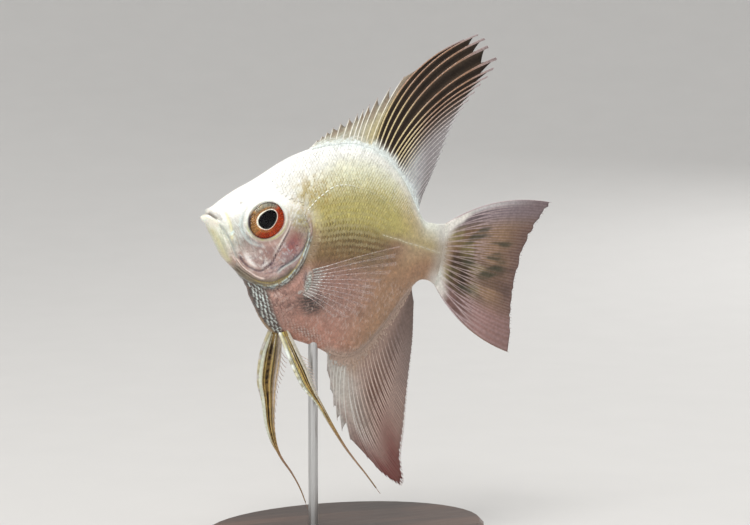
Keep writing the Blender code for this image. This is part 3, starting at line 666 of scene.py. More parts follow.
def trunk_colours(s, h):
    """The trunk's ground: a ramp from belly to back with soft patches, the bands that follow the lateral line,
    a fine random grain, and painted light along the belly's edge above the anal fin that offsets its shade."""
    look = bpy.context.scene.angelfish_skin
    patch, veins = partial(blob, s, h), partial(streaks, s, h)
    level = level_of(s, h)
    below_back, above_belly = back_line(s) - h, h - belly_line(s)
    lateral = np.abs(to_line(s, h, LATERAL_UPPER)[0])
    under = smooth(0.3, 1.0, lateral) * smooth(6.5, 4.0, lateral) * smooth(18.5, 21, s)
    under = under * smooth(39, 33, s) * smooth(10.2, 9.0, h) * (1 - row_bars(s, h))
    bands = wave(lateral - 1.0, 1.15)
    stalk = mix(plain(STALK_PALE, s.shape), STALK_DUSKY, smooth(0.75, 0.3, np.abs(level + 0.1)))
    base = layers(
        plain(look.belly, s.shape),
        ((0.52, 0.25, 0.185), smooth(-0.5, -0.95, level) * smooth(18, 22, s)),
        ((0.40, 0.225, 0.13), smooth(27, 38, s) * smooth(0.05, -0.3, level)),
        ((0.215, 0.13, 0.055), smooth(-0.36, -0.08, level) * smooth(44, 33, s)),
        (look.flank, smooth(-0.02, 0.34, level) * smooth(47, 40, s)),
        ((0.47, 0.37, 0.19), smooth(37, 43, s) * smooth(-0.5, 0.3, level)),
        ((0.80, 0.79, 0.55), smooth(0.38, 0.72, level + 0.012 * (22 - s)) * 0.9),
        (look.back, smooth(0.62, 0.92, level + 0.02 * np.clip(22 - s, -2, 20))),
        (look.back, smooth(3.6, 1.0, below_back) * smooth(44, 40, s)),
        ((0.80, 0.87, 0.84), smooth(1.7, 0.2, below_back) * smooth(19, 25, s) * 0.85),
        ((0.58, 0.42, 0.22), patch((39.8, 7.6), (2.6, 4.6), 28, 3.0) * 0.5),
        ((0.68, 0.67, 0.57), smooth(0.15, 0.9, level) * smooth(40, 46, s) * 0.9),
        (stalk, smooth(45.5, 49, s) * 0.9),
        ((0.33, 0.16, 0.115), patch((26.8, -9.8), (6.8, 5.2), 0, 3.0) * 0.5),
        ((0.22, 0.15, 0.075), patch((23.4, 0.8), (2.6, 3.2), -20) * 0.4),
        ((0.42, 0.32, 0.27), smooth(2.6, 0.4, above_belly) * smooth(27, 30, s) * smooth(45, 40, s) * 0.75),
        ((0.46, 0.355, 0.085), under * bands * 0.42),
        ((0.72, 0.71, 0.45), under * (1 - bands) * 0.16),
        ((0.46, 0.32, 0.075),
         smooth(0.46, 0.60, veins(72, 0.75, 0.30, 27)) * patch((20.8, 7.6), (4.6, 3.0), 38, 3.0) * 0.85),
    )
    grain = 0.30 * (cloud(s / 0.4, h / 0.4, 1) - 0.5) + 0.30 * (cloud(s / 0.24, h / 0.24, 3) - 0.5)
    grain = grain + 0.18 * (cloud(s / 2.1, h / 2.1, 2) - 0.5)
    base = base * (1 + grain * (1 - 0.6 * smooth(43, 47, s)))[..., None]
    # Painted light: the belly's edge above the anal fin is lightened to offset the shade where the body turns
    # under.
    keel_painted_light = smooth(1.2, 0.1, above_belly) * smooth(27, 29, s) * smooth(45, 42, s) * 0.75
    return mix(base, (0.56, 0.43, 0.355), keel_painted_light)


def head_coats(s, h):
    """The head over the trunk's ground: the dusky edge behind the gill slit, then the face, which ends at the
    slit, with its own soft patches and mottling."""
    look = bpy.context.scene.angelfish_skin
    patch, veins = partial(blob, s, h), partial(streaks, s, h)
    slit, _ = to_line(s, h, GILL_SLIT)
    head = smooth(-1, 1, (0.1 - slit) / (0.15 + 2.2 * smooth(1.6, 6.5, h)))
    head = np.maximum(head * smooth(21.5, 20.0, s) * smooth(9, 6, h - 0.35 * s), smooth(9.2, 8.4, s + 0.05 * h))
    mottle = veins(-52, 0.75, 0.3, 14)
    front = patch((6.2, -1.6), (3.6, 3.2), -45, 3.0)
    face = layers(
        plain(look.cheek, s.shape),
        ((0.66, 0.68, 0.54), smooth(9.6, 4.6, s - 0.3 * h)),
        ((0.32, 0.29, 0.215), patch((17.4, 1.6), (2.2, 2.6), 0, 3.0)),
        ((0.34, 0.26, 0.21), patch((15.4, -0.6), (1.3, 2.2), -20, 3.0) * 0.8),
        ((0.66, 0.69, 0.60), patch((16.4, 4.4), (3.4, 2.0), 20, 3.0) * 0.6),
        ((0.13, 0.12, 0.14),
         smooth(0.56, 0.70, veins(-40, 1.1, 0.26, 17)) * patch((8.4, -3.2), (3.0, 1.7), -42, 3.0) * 0.7),
        ((0.40, 0.44, 0.38), smooth(0.5, 0.72, mottle) * front * 0.7),
        ((0.88, 0.90, 0.80), smooth(0.46, 0.28, mottle) * front * 0.7),
        (look.back, smooth(-0.6, 3.0, h + 0.42 * (8.5 - s))),
    )
    return (
        ((0.66, 0.62, 0.50), smooth(3.2, 0.0, np.abs(slit)) * smooth(0.5, 4.0, h) * smooth(9.5, 6.5, h) * 0.75),
        ((0.33, 0.235, 0.15),
         smooth(2.6, 0.2, slit) * smooth(-6.0, -3.5, h) * smooth(3.0, 0.5, h) * smooth(18, 20, s) * 0.8),
        (face, head),
        (look.back, patch((14, 11), (7.5, 5.0), 38, 3.0)),
    )


def face_coats(s, h):
    """Soft patches of the jaw, snout, cheek and gill cover, many of them broken up by streaks of random
    values."""
    look = bpy.context.scene.angelfish_skin
    patch = partial(blob, s, h)

    def flecks(low, high, *streak):
        return smooth(low, high, streaks(s, h, *streak))

    jaw = patch((4.2, -3.4), (4.6, 1.9), -54, 3.0)
    top = patch((17.2, 3.0), (2.6, 2.8), 30, 3.0)
    lower = patch((14.6, -7.2), (3.4, 1.5), 22, 3.0)
    cheek = patch((10.2, -5.6), (4.4, 2.6), 15, 3.0)
    cover = patch((16.2, -4.4), (2.3, 4.4), -26, 3.0)
    return (
        ((0.44, 0.31, 0.07),
         flecks(0.44, 0.60, 74, 0.7, 0.28, 33) * patch((18.9, 7.7), (3.9, 3.0), 38, 3.0) * 0.8),
        ((0.60, 0.57, 0.38), patch((3.4, -3.6), (4.4, 0.8), -50) * 0.55),
        ((0.34, 0.35, 0.28), flecks(0.55, 0.75, -56, 3.0, 0.2, 20) * jaw * 0.45),
        ((0.92, 0.92, 0.84), flecks(0.45, 0.25, -56, 3.0, 0.2, 20) * jaw * 0.5),
        ((0.52, 0.53, 0.49), patch((6.0, -0.3), (1.8, 2.2), -50, 3.0) * 0.55),
        ((0.40, 0.40, 0.37), patch((7.0, -2.2), (2.4, 1.2), -45) * 0.5),
        ((0.80, 0.84, 0.82),
         flecks(0.56, 0.70, -52, 0.7, 0.2, 28) * patch((7.0, -1.4), (3.2, 2.4), -45, 3.0) * 0.6),
        ((0.42, 0.33, 0.13), flecks(0.50, 0.66, 66, 0.6, 0.24, 31) * top * 0.6),
        ((0.86, 0.90, 0.86), flecks(0.54, 0.70, 66, 0.6, 0.24, 32) * top * 0.5),
        ((0.16, 0.13, 0.15),
         flecks(0.60, 0.74, -46, 0.7, 0.18, 29) * patch((7.8, -2.4), (3.2, 2.2), -45, 3.0) * 0.5),
        (np.array(look.gill) * (0.84, 0.64, 0.60), patch((16.7, -2.2), (1.5, 3.0), -18, 2.6) * 0.85),
        ((0.34, 0.25, 0.26),
         smooth(0.4, 0.65, cloud(s / 0.9, h / 0.7, 30)) * patch((15.4, -5.6), (4.2, 2.6), 40, 3.0) * 0.5),
        ((0.30, 0.20, 0.19), patch((17.2, -6.2), (2.2, 1.9), -50, 3.0) * 0.6),
        ((0.17, 0.105, 0.11), flecks(0.52, 0.68, 28, 1.1, 0.24, 25) * lower * 0.7),
        ((0.66, 0.52, 0.49), flecks(0.46, 0.30, 40, 0.9, 0.22, 26) * lower * 0.5),
        ((0.82, 0.75, 0.70), flecks(0.56, 0.68, -48, 0.9, 0.34, 7) * cheek * 0.85),
        ((0.17, 0.11, 0.12), flecks(0.60, 0.72, 42, 0.9, 0.22, 8) * cheek * 0.6),
        ((0.92, 0.86, 0.82), patch((9.2, -6.1), (1.5, 0.45), -46, 3.0) * 0.9),
        ((0.90, 0.84, 0.80), patch((10.3, -6.9), (0.9, 0.3), -30, 3.0) * 0.8),
        ((0.88, 0.82, 0.79), patch((12.3, -6.6), (0.8, 0.26), 48, 3.0) * 0.9),
        ((0.10, 0.05, 0.07), patch((10.6, -5.6), (0.9, 0.13), 45, 3.0) * 0.8),
        ((0.10, 0.05, 0.07), patch((12.0, -6.3), (0.13, 0.5), -10, 3.0) * 0.8),
        ((0.10, 0.07, 0.10), flecks(0.58, 0.72, 50, 1.0, 0.22, 9) * cover * 0.65),
        ((0.60, 0.62, 0.62), flecks(0.62, 0.76, 55, 0.8, 0.18, 11) * cover * 0.6),
        ((0.09, 0.06, 0.08), patch((15.6, -6.4), (0.8, 0.2), 25, 3.0) * 0.85),
        ((0.66, 0.70, 0.66),
         flecks(0.55, 0.8, -58, 1.8, 0.3, 12) * patch((7.0, -2.8), (2.8, 2.2), -45, 3.0) * 0.5),
        ((0.19, 0.125, 0.10), patch((8.5, -3.7), (2.0, 1.2), -38, 3.0) * 0.65),
        ((0.29, 0.15, 0.13), patch((12.6, -4.3), (1.4, 1.3), -38, 3.0) * 0.5),
        ((0.66, 0.56, 0.52), patch((9.9, -5.0), (1.5, 0.9), -40) * 0.5),
    )


def plate_lines(s, h):
    """The drawn lines of the gill plates, their membrane, the gill slit and the lips, with the pore, a fleck
    and the nostril. The silver gill edge is brightened partly by painted highlights, and the gape and the
    trough below the upper lip are darkened by painted shade."""
    line = partial(line_coat, s, h)
    broken = smooth(0.30, 0.52, streaks(s, h, 35, 0.5, 0.5, 13))
    dashes = smooth(0.36, 0.56, streaks(s, h, -40, 0.45, 0.45, 18))
    slit = GILL_SLIT[2:]
    return (
        line(MEMBRANE_FOLD, 0.8, (0.085, 0.066, 0.042), 0.94),
        ((0.38, 0.31, 0.225), membrane_pleats(s, h) * 0.7),
        line(MEMBRANE_FOLD, 0.1, (0.42, 0.31, 0.06), 0.9, 0.3),
        line(shifted(MEMBRANE_FOLD, 0.05, -0.32), 0.12, (0.07, 0.05, 0.03), 0.8),
        line(shifted(MEMBRANE_FOLD, -0.05, 0.28), 0.1, (0.09, 0.06, 0.045), 0.6),
        line(INTEROPERCLE, 0.21, (0.88, 0.72, 0.64), 0.9, 0.0, 0.8),
        line(shifted(INTEROPERCLE, 0.06, -0.2), 0.07, (0.10, 0.05, 0.04), 0.8),
        line(shifted(INTEROPERCLE, -0.05, 0.24), 0.07, (0.16, 0.08, 0.08), 0.6, 0.1, 0.9),
        line(PREOPERCLE, 0.17, (0.085, 0.045, 0.055), 0.85, 0.1, 0.98),
        line(shifted(PREOPERCLE[:4], -0.36, 0.1), 0.15, (0.84, 0.77, 0.70), 0.8),
        line(OPERCLE_EDGE, 0.2, (0.07, 0.075, 0.10), 0.75, 0.3, 1.0),
        line(shifted(OPERCLE_EDGE[2:], 0.32, -0.12), 0.16, (0.62, 0.70, 0.66), 0.7),
        line(shifted(GILL_SLIT, -0.1, 0.06), 0.55, (0.20, 0.175, 0.11), 0.85, 0.22, 0.95),
        line(shifted(slit, -0.62, 0.36), 0.08, (0.50, 0.38, 0.08), 0.75, 0.1, 0.8),
        line(shifted(slit, -0.78, 0.46), 0.08, (0.06, 0.05, 0.07), 0.7, 0.1, 0.8),
        # Partly real silver, partly a painted highlight: the bright cyan line along the gill slit.
        line(shifted(slit, -0.45, 0.26), 0.1, (0.66, 0.84, 0.84), dashes * 0.9, 0.05, 0.75),
        line(shifted(slit, -0.26, 0.15), 0.09, (0.05, 0.05, 0.06), 0.9),
        # Partly real silver, partly painted highlights: the broken bright line on the gill slit.
        line(GILL_SLIT, 0.12, (0.88, 1.0, 0.98), broken, 0.22, 0.86),
        line(shifted(GILL_SLIT[3:], 0.27, -0.22), 0.13, (0.025, 0.018, 0.022), 0.5 + 0.5 * dashes, 0.1, 0.85),
        # Painted shade: the dark slit of the gape and the grey trough under the upper lip.
        line(GAPE, 0.13, (0.16, 0.13, 0.13), 0.9, 0.1, 0.8),
        line(LIP_TROUGH, 0.26, (0.27, 0.24, 0.21), 0.85, 0.0, 0.75),
        line(LIP_FURROW, 0.2, (0.62, 0.62, 0.60), 0.5, 0.2, 1.0),
        line(LOWER_LIP, 0.34, (0.74, 0.69, 0.56), 0.7),
        line(UPPER_LIP, 0.36, (0.45, 0.43, 0.39), 0.6),
        line(MAXILLA, 0.26, (0.80, 0.75, 0.46), 0.8),
        line(JAW_RIDGE, 0.34, (0.62, 0.58, 0.34), 0.7, 0.2, 1.0),
        line(JAW_FURROW, 0.22, (0.36, 0.39, 0.36), 0.7),
        ((0.78, 0.90, 0.86), blob(s, h, PORE, (0.28, 0.5), -20, 3.0)),
        ((0.08, 0.04, 0.06), blob(s, h, (13.4, -6.3), (0.5, 0.3), 50, 3.0) * 0.9),
        ((0.16, 0.14, 0.13), blob(s, h, NOSTRIL, (0.22, 0.22)) * 0.45),
    )


def eye_ring_coats(s, h):
    """The rings round the eye: bell curves of the distance from its centre, stronger at some angles round
    it. The dark crescent at the eye's front edge is painted shade."""
    radius, turn = eye_polar(s, h)
    worn = 0.35 + 0.65 * smooth(0.35, 0.6, cloud(s / 0.9, h / 0.5, 41))
    low = smooth(-0.2, 0.9, np.cos(turn + 1.35))
    return (
        ((0.70, 0.73, 0.66), bell(radius, EYE_RING, 0.22) * (0.75 - 0.35 * low)),
        ((0.50, 0.50, 0.17), bell(radius, 3.58, 0.17) * low * worn * 0.9),
        ((0.84, 0.86, 0.70), bell(radius, 3.86, 0.1) * low * worn * 0.5),
        # Painted shade: a dark crescent on the skin at the eye's front edge.
        ((0.09, 0.06, 0.10), smooth(3.5, 3.3, radius) * smooth(0.88, 0.98, np.cos(turn + 2.9)) * 0.7),
        ((0.28, 0.36, 0.37), bell(radius, EYE_GROOVE, 0.2) * smooth(0.3, 0.9, np.cos(turn - 3.75)) * 0.5),
        ((0.66, 0.78, 0.78), bell(radius, 4.72, 0.2) * smooth(0.3, 0.9, np.cos(turn - 3.9)) * 0.45),
    )


def breast_coats(s, h):
    """The dark-edged breast, the grey spot with arcs about the pectoral fin's root, the comb of its ray roots,
    a painted shadow just in front of that root, and the lower lateral line."""
    look = bpy.context.scene.angelfish_skin
    patch = partial(blob, s, h)
    slit, _ = to_line(s, h, GILL_SLIT)
    breast, _ = to_line(s, h, BREAST_LINE)
    silver = smooth(1.1, 0.6, breast / breast_width(s)) * smooth(-0.4, 0.2, slit) * smooth(20.5, 17.5, s)
    silver = silver * smooth(8.6, 9.8, s) * smooth(-9.2, -10.4, h)
    veins = streaks(s, h, 52, 0.9, 0.24, 19)
    arcs = smooth(0.2, 0.8, wave(np.hypot(s - 20.4, h + 8.0) + 0.3 * cloud(s / 0.8, h / 0.8, 16), 0.56))
    comb = smooth(0.25, 0.75, 0.5 + 0.5 * np.cos(np.arctan2(h + 8.8, s - 18.6) * 34))
    return (
        ((0.15, 0.105, 0.085), silver * 0.9),
        ((0.31, 0.205, 0.115), smooth(-0.15, -0.5, breast) * smooth(9.4, 10.2, s) * smooth(20.5, 18, s)),
        ((0.06, 0.035, 0.035), smooth(0.56, 0.68, veins) * patch((16.5, -12.6), (3.8, 2.1), -42, 3.0) * 0.6),
        ((0.60, 0.47, 0.42), smooth(0.46, 0.34, veins) * patch((16.9, -12.4), (3.4, 1.8), -42, 3.0) * 0.4),
        (look.spot, patch((22.7, -12.3), (2.6, 2.2), -10, 3.0) * (0.5 + 0.5 * arcs)),
        ((0.04, 0.03, 0.03), patch((22.7, -12.1), (2.2, 1.8), -10, 3.0) * arcs * 0.9),
        (look.spot, patch((25.0, -11.0), (2.6, 1.5), 30) * 0.4 * arcs),
        ((0.12, 0.08, 0.07), patch((19.8, -12.6), (1.8, 1.5), 0) * 0.35 * arcs),
        ((0.70, 0.78, 0.72), patch((21.0, -8.7), (0.6, 2.2), 0, 4.0) * (0.35 + 0.6 * comb)),
        ((0.09, 0.07, 0.065), patch((21.1, -8.7), (0.6, 2.3), 0, 4.0) * (1 - comb) * 0.8),
        # Painted shadow: a dark strip just in front of the pectoral fin's root.
        ((0.05, 0.03, 0.03), patch((20.25, -7.8), (0.3, 1.5), 4, 3.0) * 0.85),
        ((0.70, 0.80, 0.76), patch((19.9, -10.6), (0.5, 0.18), 40, 3.0) * 0.7),
        line_coat(s, h, LATERAL_LOWER, 0.3, (0.66, 0.60, 0.42), 0.38),
    )


def markings(s, h):
    """The colours that skin and scales share, by place on the side: the trunk's ground, then the coats of the
    head, plates, eye rings and breast."""
    base = trunk_colours(s, h)
    for coats in (head_coats, face_coats, plate_lines, eye_ring_coats, breast_coats):
        base = layers(base, *coats(s, h))
    return base


def breast_width(s):
    """Width of the breast's silver band along the body."""
    return np.interp(s, (10.0, 14.0, 18.4), (3.1, 3.1, 0.9))


def silver_mask(s, h):
    """Where scales and skin shine like metal: the breast, the gill's edge and a band of the belly."""
    breast, _ = to_line(s, h, BREAST_LINE)
    slit, share = to_line(s, h, GILL_SLIT)
    mask = smooth(1.0, 0.4, breast / breast_width(s)) * smooth(-0.65, -0.35, breast)
    mask = mask * smooth(8.8, 10, s) * smooth(20, 18, s) * smooth(-9.4, -10.4, h)
    mask = np.maximum(mask, bell(slit, 0, 0.13) * smooth(0.1, 0.25, share))
    return np.maximum(mask, 0.5 * blob(s, h, (23.6, -17.9), (4.2, 0.9), -18))


def row_bars(s, h):
    """Strength of the brown rows on the lower side."""
    return np.maximum(blob(s, h, (26.0, 0.4), (8.6, 4.4), -3, 4.0),
                      0.6 * blob(s, h, (27.5, 5.0), (8.0, 4.6), 0, 4.0))


# ---------------------------------------------------------------- materials


def shader_group(name, inputs, outputs):
    """A node group with named sockets, each given as (name, type, default)."""
    group = bpy.data.node_groups.new(name, "ShaderNodeTree")
    for title, kind, value in inputs:
        socket = group.interface.new_socket(title, in_out="INPUT", socket_type="NodeSocket" + kind)
        socket.default_value = value
    for title, kind in outputs:
        group.interface.new_socket(title, in_out="OUTPUT", socket_type="NodeSocket" + kind)
    return group, group.nodes.new("NodeGroupInput"), group.nodes.new("NodeGroupOutput")


def node(tree, kind, values=None, **settings):
    """A new shader node, with its settings and the values of its inputs."""
    made = tree.nodes.new("ShaderNode" + kind)
    for name, value in settings.items():
        setattr(made, name, value)
    return feed(tree, made, values or {})


def feed(tree, made, values):
    """Sets a node's inputs. A value that is another node's output is linked."""
    for name, value in values.items():
        if isinstance(value, bpy.types.NodeSocket):
            tree.links.new(value, made.inputs[name])
        else:
            made.inputs[name].default_value = value
    return made


def maths(tree, operation, *values):
    """The result of a Math node on numbers and sockets."""
    return node(tree, "Math", dict(enumerate(values)), operation=operation).outputs[0]


def ranged(tree, value, low, high, first=0.0, last=1.0, **settings):
    """A socket's values from first to last, spread from low to high."""
    values = {"Value": value, "From Min": first, "From Max": last, "To Min": low, "To Max": high}
    return node(tree, "MapRange", values, **settings).outputs["Result"]


def scaled_colour(tree, colour, scale):
    """A colour times a socket's value."""
    return node(tree, "VectorMath", {0: colour, "Scale": scale}, operation="SCALE").outputs[0]


def object_place(tree):
    """The Object coordinates, on which every texture of a piece lies."""
    return node(tree, "TexCoord").outputs["Object"]


def stretched_noise(tree, place, scale, **values):
    """Noise drawn out along the axes of a place by its own scale for each."""
    stretch = node(tree, "Mapping", {"Vector": place, "Scale": scale})
    return node(tree, "TexNoise", {"Vector": stretch.outputs[0], **values}).outputs["Fac"]


def fine_finish(tree, shader, texture, low, high, strength, height):
    """Feeds a texture into the roughness, spread from low to high, and into a bump of a height in metres."""
    bump = node(tree, "Bump", {"Height": texture, "Strength": strength, "Distance": height})
    feed(tree, shader, {"Roughness": ranged(tree, texture, low, high), "Normal": bump.outputs["Normal"]})


def group_pearl_grain():
    """Fine grain of living tissue: a cell pattern and soft cloud, both on Object coordinates, that vary the
    colour, the gloss and the height."""
    if "pearl_grain" in bpy.data.node_groups:
        return bpy.data.node_groups["pearl_grain"]
    tree, inputs, out = shader_group(
        "pearl_grain",
        (("Color", "Color", (0.8, 0.8, 0.8, 1)), ("Cell Size", "Float", 0.00035), ("Strength", "Float", 0.12),
         ("Gloss", "Float", 0.35)),
        (("Color", "Color"), ("Roughness", "Float"), ("Height", "Float")),
    )
    given, place = inputs.outputs, object_place(tree)
    scale = maths(tree, "DIVIDE", 1.0, given["Cell Size"])
    cells = node(tree, "TexVoronoi", {"Vector": place, "Scale": scale, "Smoothness": 0.4}, feature="SMOOTH_F1")
    cloudy = node(tree, "TexNoise", {"Vector": place, "Scale": 900.0, "Detail": 3.0}).outputs["Fac"]
    both = maths(tree, "ADD", cells.outputs["Distance"], cloudy)
    centred = ranged(tree, both, 1.0, -1.0, 0.45, 1.35)
    lighter = maths(tree, "ADD", maths(tree, "MULTIPLY", centred, given["Strength"]), 1.0)
    gloss = maths(tree, "MULTIPLY_ADD", cloudy, 0.16, 0.1)
    feed(tree, out, {
        "Color": scaled_colour(tree, given["Color"], lighter),
        "Roughness": maths(tree, "ADD", gloss, maths(tree, "SUBTRACT", given["Gloss"], 0.18)),
        "Height": both,
    })
    return tree


def group_ray_bands():
    """Segments of a soft ray: a saw-edged band that repeats along the ray's own UV length and darkens each
    joint."""
    if "ray_bands" in bpy.data.node_groups:
        return bpy.data.node_groups["ray_bands"]
    tree, inputs, out = shader_group(
        "ray_bands",
        (("Color", "Color", (0.8, 0.8, 0.8, 1)), ("Joint Color", "Color", (0.3, 0.25, 0.2, 1)),
         ("Bands", "Float", 1.6), ("Strength", "Float", 0.5)),
        (("Color", "Color"), ("Height", "Float")),
    )
    given, uv = inputs.outputs, node(tree, "UVMap", uv_map="ray").outputs["UV"]
    along = node(tree, "SeparateXYZ", {0: uv}).outputs["X"]
    wobble = node(tree, "TexNoise", {"Vector": uv, "Scale": 2.5, "Detail": 1.0}).outputs["Fac"]
    spaced = maths(tree, "MULTIPLY", maths(tree, "ADD", along, wobble), given["Bands"])
    saw_edge = maths(tree, "PINGPONG", spaced, 0.5)
    joint = ranged(tree, saw_edge, 1.0, 0.0, 0.04, 0.16, interpolation_type="SMOOTHSTEP")
    mask = maths(tree, "MULTIPLY", joint, given["Strength"])
    blend = node(tree, "Mix", {"Factor": mask, "A": given["Color"], "B": given["Joint Color"]},
                 data_type="RGBA")
    feed(tree, out, {"Color": blend.outputs["Result"], "Height": maths(tree, "SUBTRACT", 1.0, joint)})
    return tree


def start_material(name, **sockets):
    """A Principled material whose constant sockets are set by name."""
    made = bpy.data.materials.new(name)
    made.use_nodes = True
    tree = made.node_tree
    shader = tree.nodes["Principled BSDF"]
    for title, value in sockets.items():
        shader.inputs[title.replace("_", " ")].default_value = value
    return made, tree, shader


def finish(name, build, *values):
    """The material of this name, built the first time it is asked for."""
    return bpy.data.materials.get(name) or build(name, *values)


def tinted(tree, shader, grain, cell, gloss, bump_height, bands=None, alpha=False):
    """Feeds the piece's own tint through the grain group, and through the ray bands where asked, into the
    shader."""
    tint = node(tree, "Attribute", attribute_name="tint").outputs
    colour = tint["Color"]
    if bands:
        joints = node(tree, "Group", {"Color": colour, **bands}, node_tree=group_ray_bands())
        colour = joints.outputs["Color"]
    pearl = node(tree, "Group", {"Color": colour, "Cell Size": cell, "Strength": grain, "Gloss": gloss},
                 node_tree=group_pearl_grain())
    height = (joints if bands else pearl).outputs["Height"]
    bump = node(tree, "Bump", {"Strength": 0.6, "Distance": bump_height, "Height": height})
    feed(tree, shader, {"Base Color": pearl.outputs["Color"], "Roughness": pearl.outputs["Roughness"],
                        "Normal": bump.outputs["Normal"]})
    if alpha:
        feed(tree, shader, {"Alpha": tint["Alpha"]})
    return tint


def body_material(name, grain, cell, gloss, bump_height, coat):
    """Wet pearly tissue. The tint's alpha is a silver mask that turns the surface metallic."""
    made, tree, shader = start_material(name, Coat_Weight=coat, Coat_Roughness=0.12, Subsurface_Weight=0.12,
                                        Subsurface_Scale=0.0012, Subsurface_Radius=(1.0, 0.45, 0.3), IOR=1.4)
    tint = tinted(tree, shader, grain, cell, gloss, bump_height)
    feed(tree, shader, {"Metallic": maths(tree, "MULTIPLY", tint["Alpha"], 0.7)})
    return made


def spine_material(name):
    """Smooth hard spines with a wet gloss."""
    made, tree, shader = start_material(name, Coat_Weight=0.4, Coat_Roughness=0.12, IOR=1.45)
    tinted(tree, shader, grain=0.10, cell=0.0005, gloss=0.3, bump_height=0.00004)
    return made


def web_material(name):
    """Thin webs, as see-through as the alpha of their tint."""
    made, tree, shader = start_material(name, Coat_Weight=0.15, Coat_Roughness=0.15, IOR=1.35,
                                        Specular_IOR_Level=0.3)
    tinted(tree, shader, grain=0.16, cell=0.0005, gloss=0.3, bump_height=0.00003, alpha=True)
    return made


def ray_material(name, joint, bands, strength):
    """Soft rays with a darker joint between their segments."""
    made, tree, shader = start_material(name, Coat_Weight=0.35, Coat_Roughness=0.12, IOR=1.45)
    tinted(tree, shader, grain=0.12, cell=0.0004, gloss=0.3, bump_height=0.00005,
           bands={"Joint Color": (*joint, 1), "Bands": bands, "Strength": strength})
    return made


def clear_ray_material(name):
    """Clear rays whose joints catch the light."""
    made, tree, shader = start_material(name, Coat_Weight=0.5, Coat_Roughness=0.08, IOR=1.4)
    tinted(tree, shader, grain=0.1, cell=0.0004, gloss=0.26, bump_height=0.00005,
           bands={"Joint Color": (0.98, 0.98, 0.96, 1), "Bands": 1.1, "Strength": 0.85}, alpha=True)
    return made


# ---------------------------------------------------------------- skin and scales


def skin_surface():
    """Stations along the body, closest at the snout, times angles round it, closest at the back and belly. The
    nose and tail close with quarter-round caps, and the relief moves each point along its normal."""
    depth = bpy.context.scene.angelfish_skin.depth
    head_end, around = 21, 364
    nose = np.linspace(0, math.pi / 2, 9)[1:-1]
    tail = np.linspace(math.pi / 2, 0, 6)[1:-1]
    along = np.concatenate([head_end * np.linspace(0, 1, 186) ** 1.12,
                            np.linspace(head_end, BODY_LENGTH, 66)[1:]])
    s = np.concatenate([-NOSE_CAP * np.cos(nose), along, BODY_LENGTH + TAIL_CAP * np.cos(tail)])
    size = np.concatenate([np.sin(nose), np.ones(len(along)), np.sin(tail)])[:, None, None]
    turn = 2 * math.pi * np.arange(around) / around
    angle = turn - 0.15 * np.sin(2 * turn)
    inner = np.clip(s, 0.0, BODY_LENGTH)[:, None]
    points = section(inner, angle[None], depth)
    normal = section_normal(np.clip(inner, 0.01, BODY_LENGTH - 0.01), angle[None], depth)
    points = points + normal * relief(points[..., 0], points[..., 2])[..., None]
    centre = np.stack([inner, 0 * inner, widest_at(inner)], axis=-1)
    points = centre + (points - centre) * size
    points[..., 0] += (s - inner[:, 0])[:, None]
    return points


def build_skin():
    """The skin as one closed mesh: the grid of skin_surface(), closed to a point at the nose and at the
    tail."""
    nose, tail = (-NOSE_CAP, 0, WIDEST_AT[0][1]), (BODY_LENGTH + TAIL_CAP, 0, WIDEST_AT[-1][1])
    flat, faces = closed_rings(skin_surface(), nose, tail)
    s, h = flat[:, 0], flat[:, 2]
    tint = rgba(markings(s, h), silver_mask(s, h))
    material = body_material("wet_skin", grain=0.10, cell=0.00032, gloss=0.34, bump_height=0.00005, coat=0.35)
    made = make_piece("skin", flat, faces, material, colours=tint)
    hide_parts("head", "lower_jaw", "gill_cover_left", "gill_cover_right", "trunk", "tail_stalk")


def girth_tables(depth):
    """Angles and arc lengths round half a section, from the widest line to the edges, at many stations."""
    s = np.linspace(0.5, BODY_LENGTH, 400)[:, None]
    angle = np.linspace(-math.pi / 2, math.pi / 2, 2 * GIRTH_STEPS + 1)[None]
    girth = run_lengths(section(s, angle, depth))
    return s[:, 0], angle[0], girth - girth[:, GIRTH_STEPS : GIRTH_STEPS + 1]


def surface_angle(tables, s, girth):
    """The angle at which a girth from the widest line is reached: a search in the nearest station's table, then
    a straight blend. Past the back or belly it folds over to the other side."""
    stations, angle, lengths = tables
    k = np.clip(np.searchsorted(stations, s), 1, len(stations) - 1)
    low_end, high_end = lengths[k, 0], lengths[k, -1]
    over, under = girth > high_end, girth < low_end
    folded = np.where(over, 2 * high_end - girth, np.where(under, 2 * low_end - girth, girth))
    big = 1000.0
    table = (lengths + big * np.arange(len(stations))[:, None]).ravel()
    found = np.clip(np.searchsorted(table, folded + big * k), k * len(angle) + 1, (k + 1) * len(angle) - 1)
    low, high = table[found - 1], table[found]
    share = np.clip((folded + big * k - low) / np.maximum(high - low, 1e-9), 0, 1)
    turn = angle[(found - 1) % len(angle)] * (1 - share) + angle[found % len(angle)] * share
    return np.where(over, math.pi - turn, np.where(under, -math.pi - turn, turn))


def closing(s):
    """How much smaller scales are towards the tail and the head, as a share."""
    return 1 - 0.3 * smooth(28, 46, s) - 0.12 * smooth(16, 9, s)


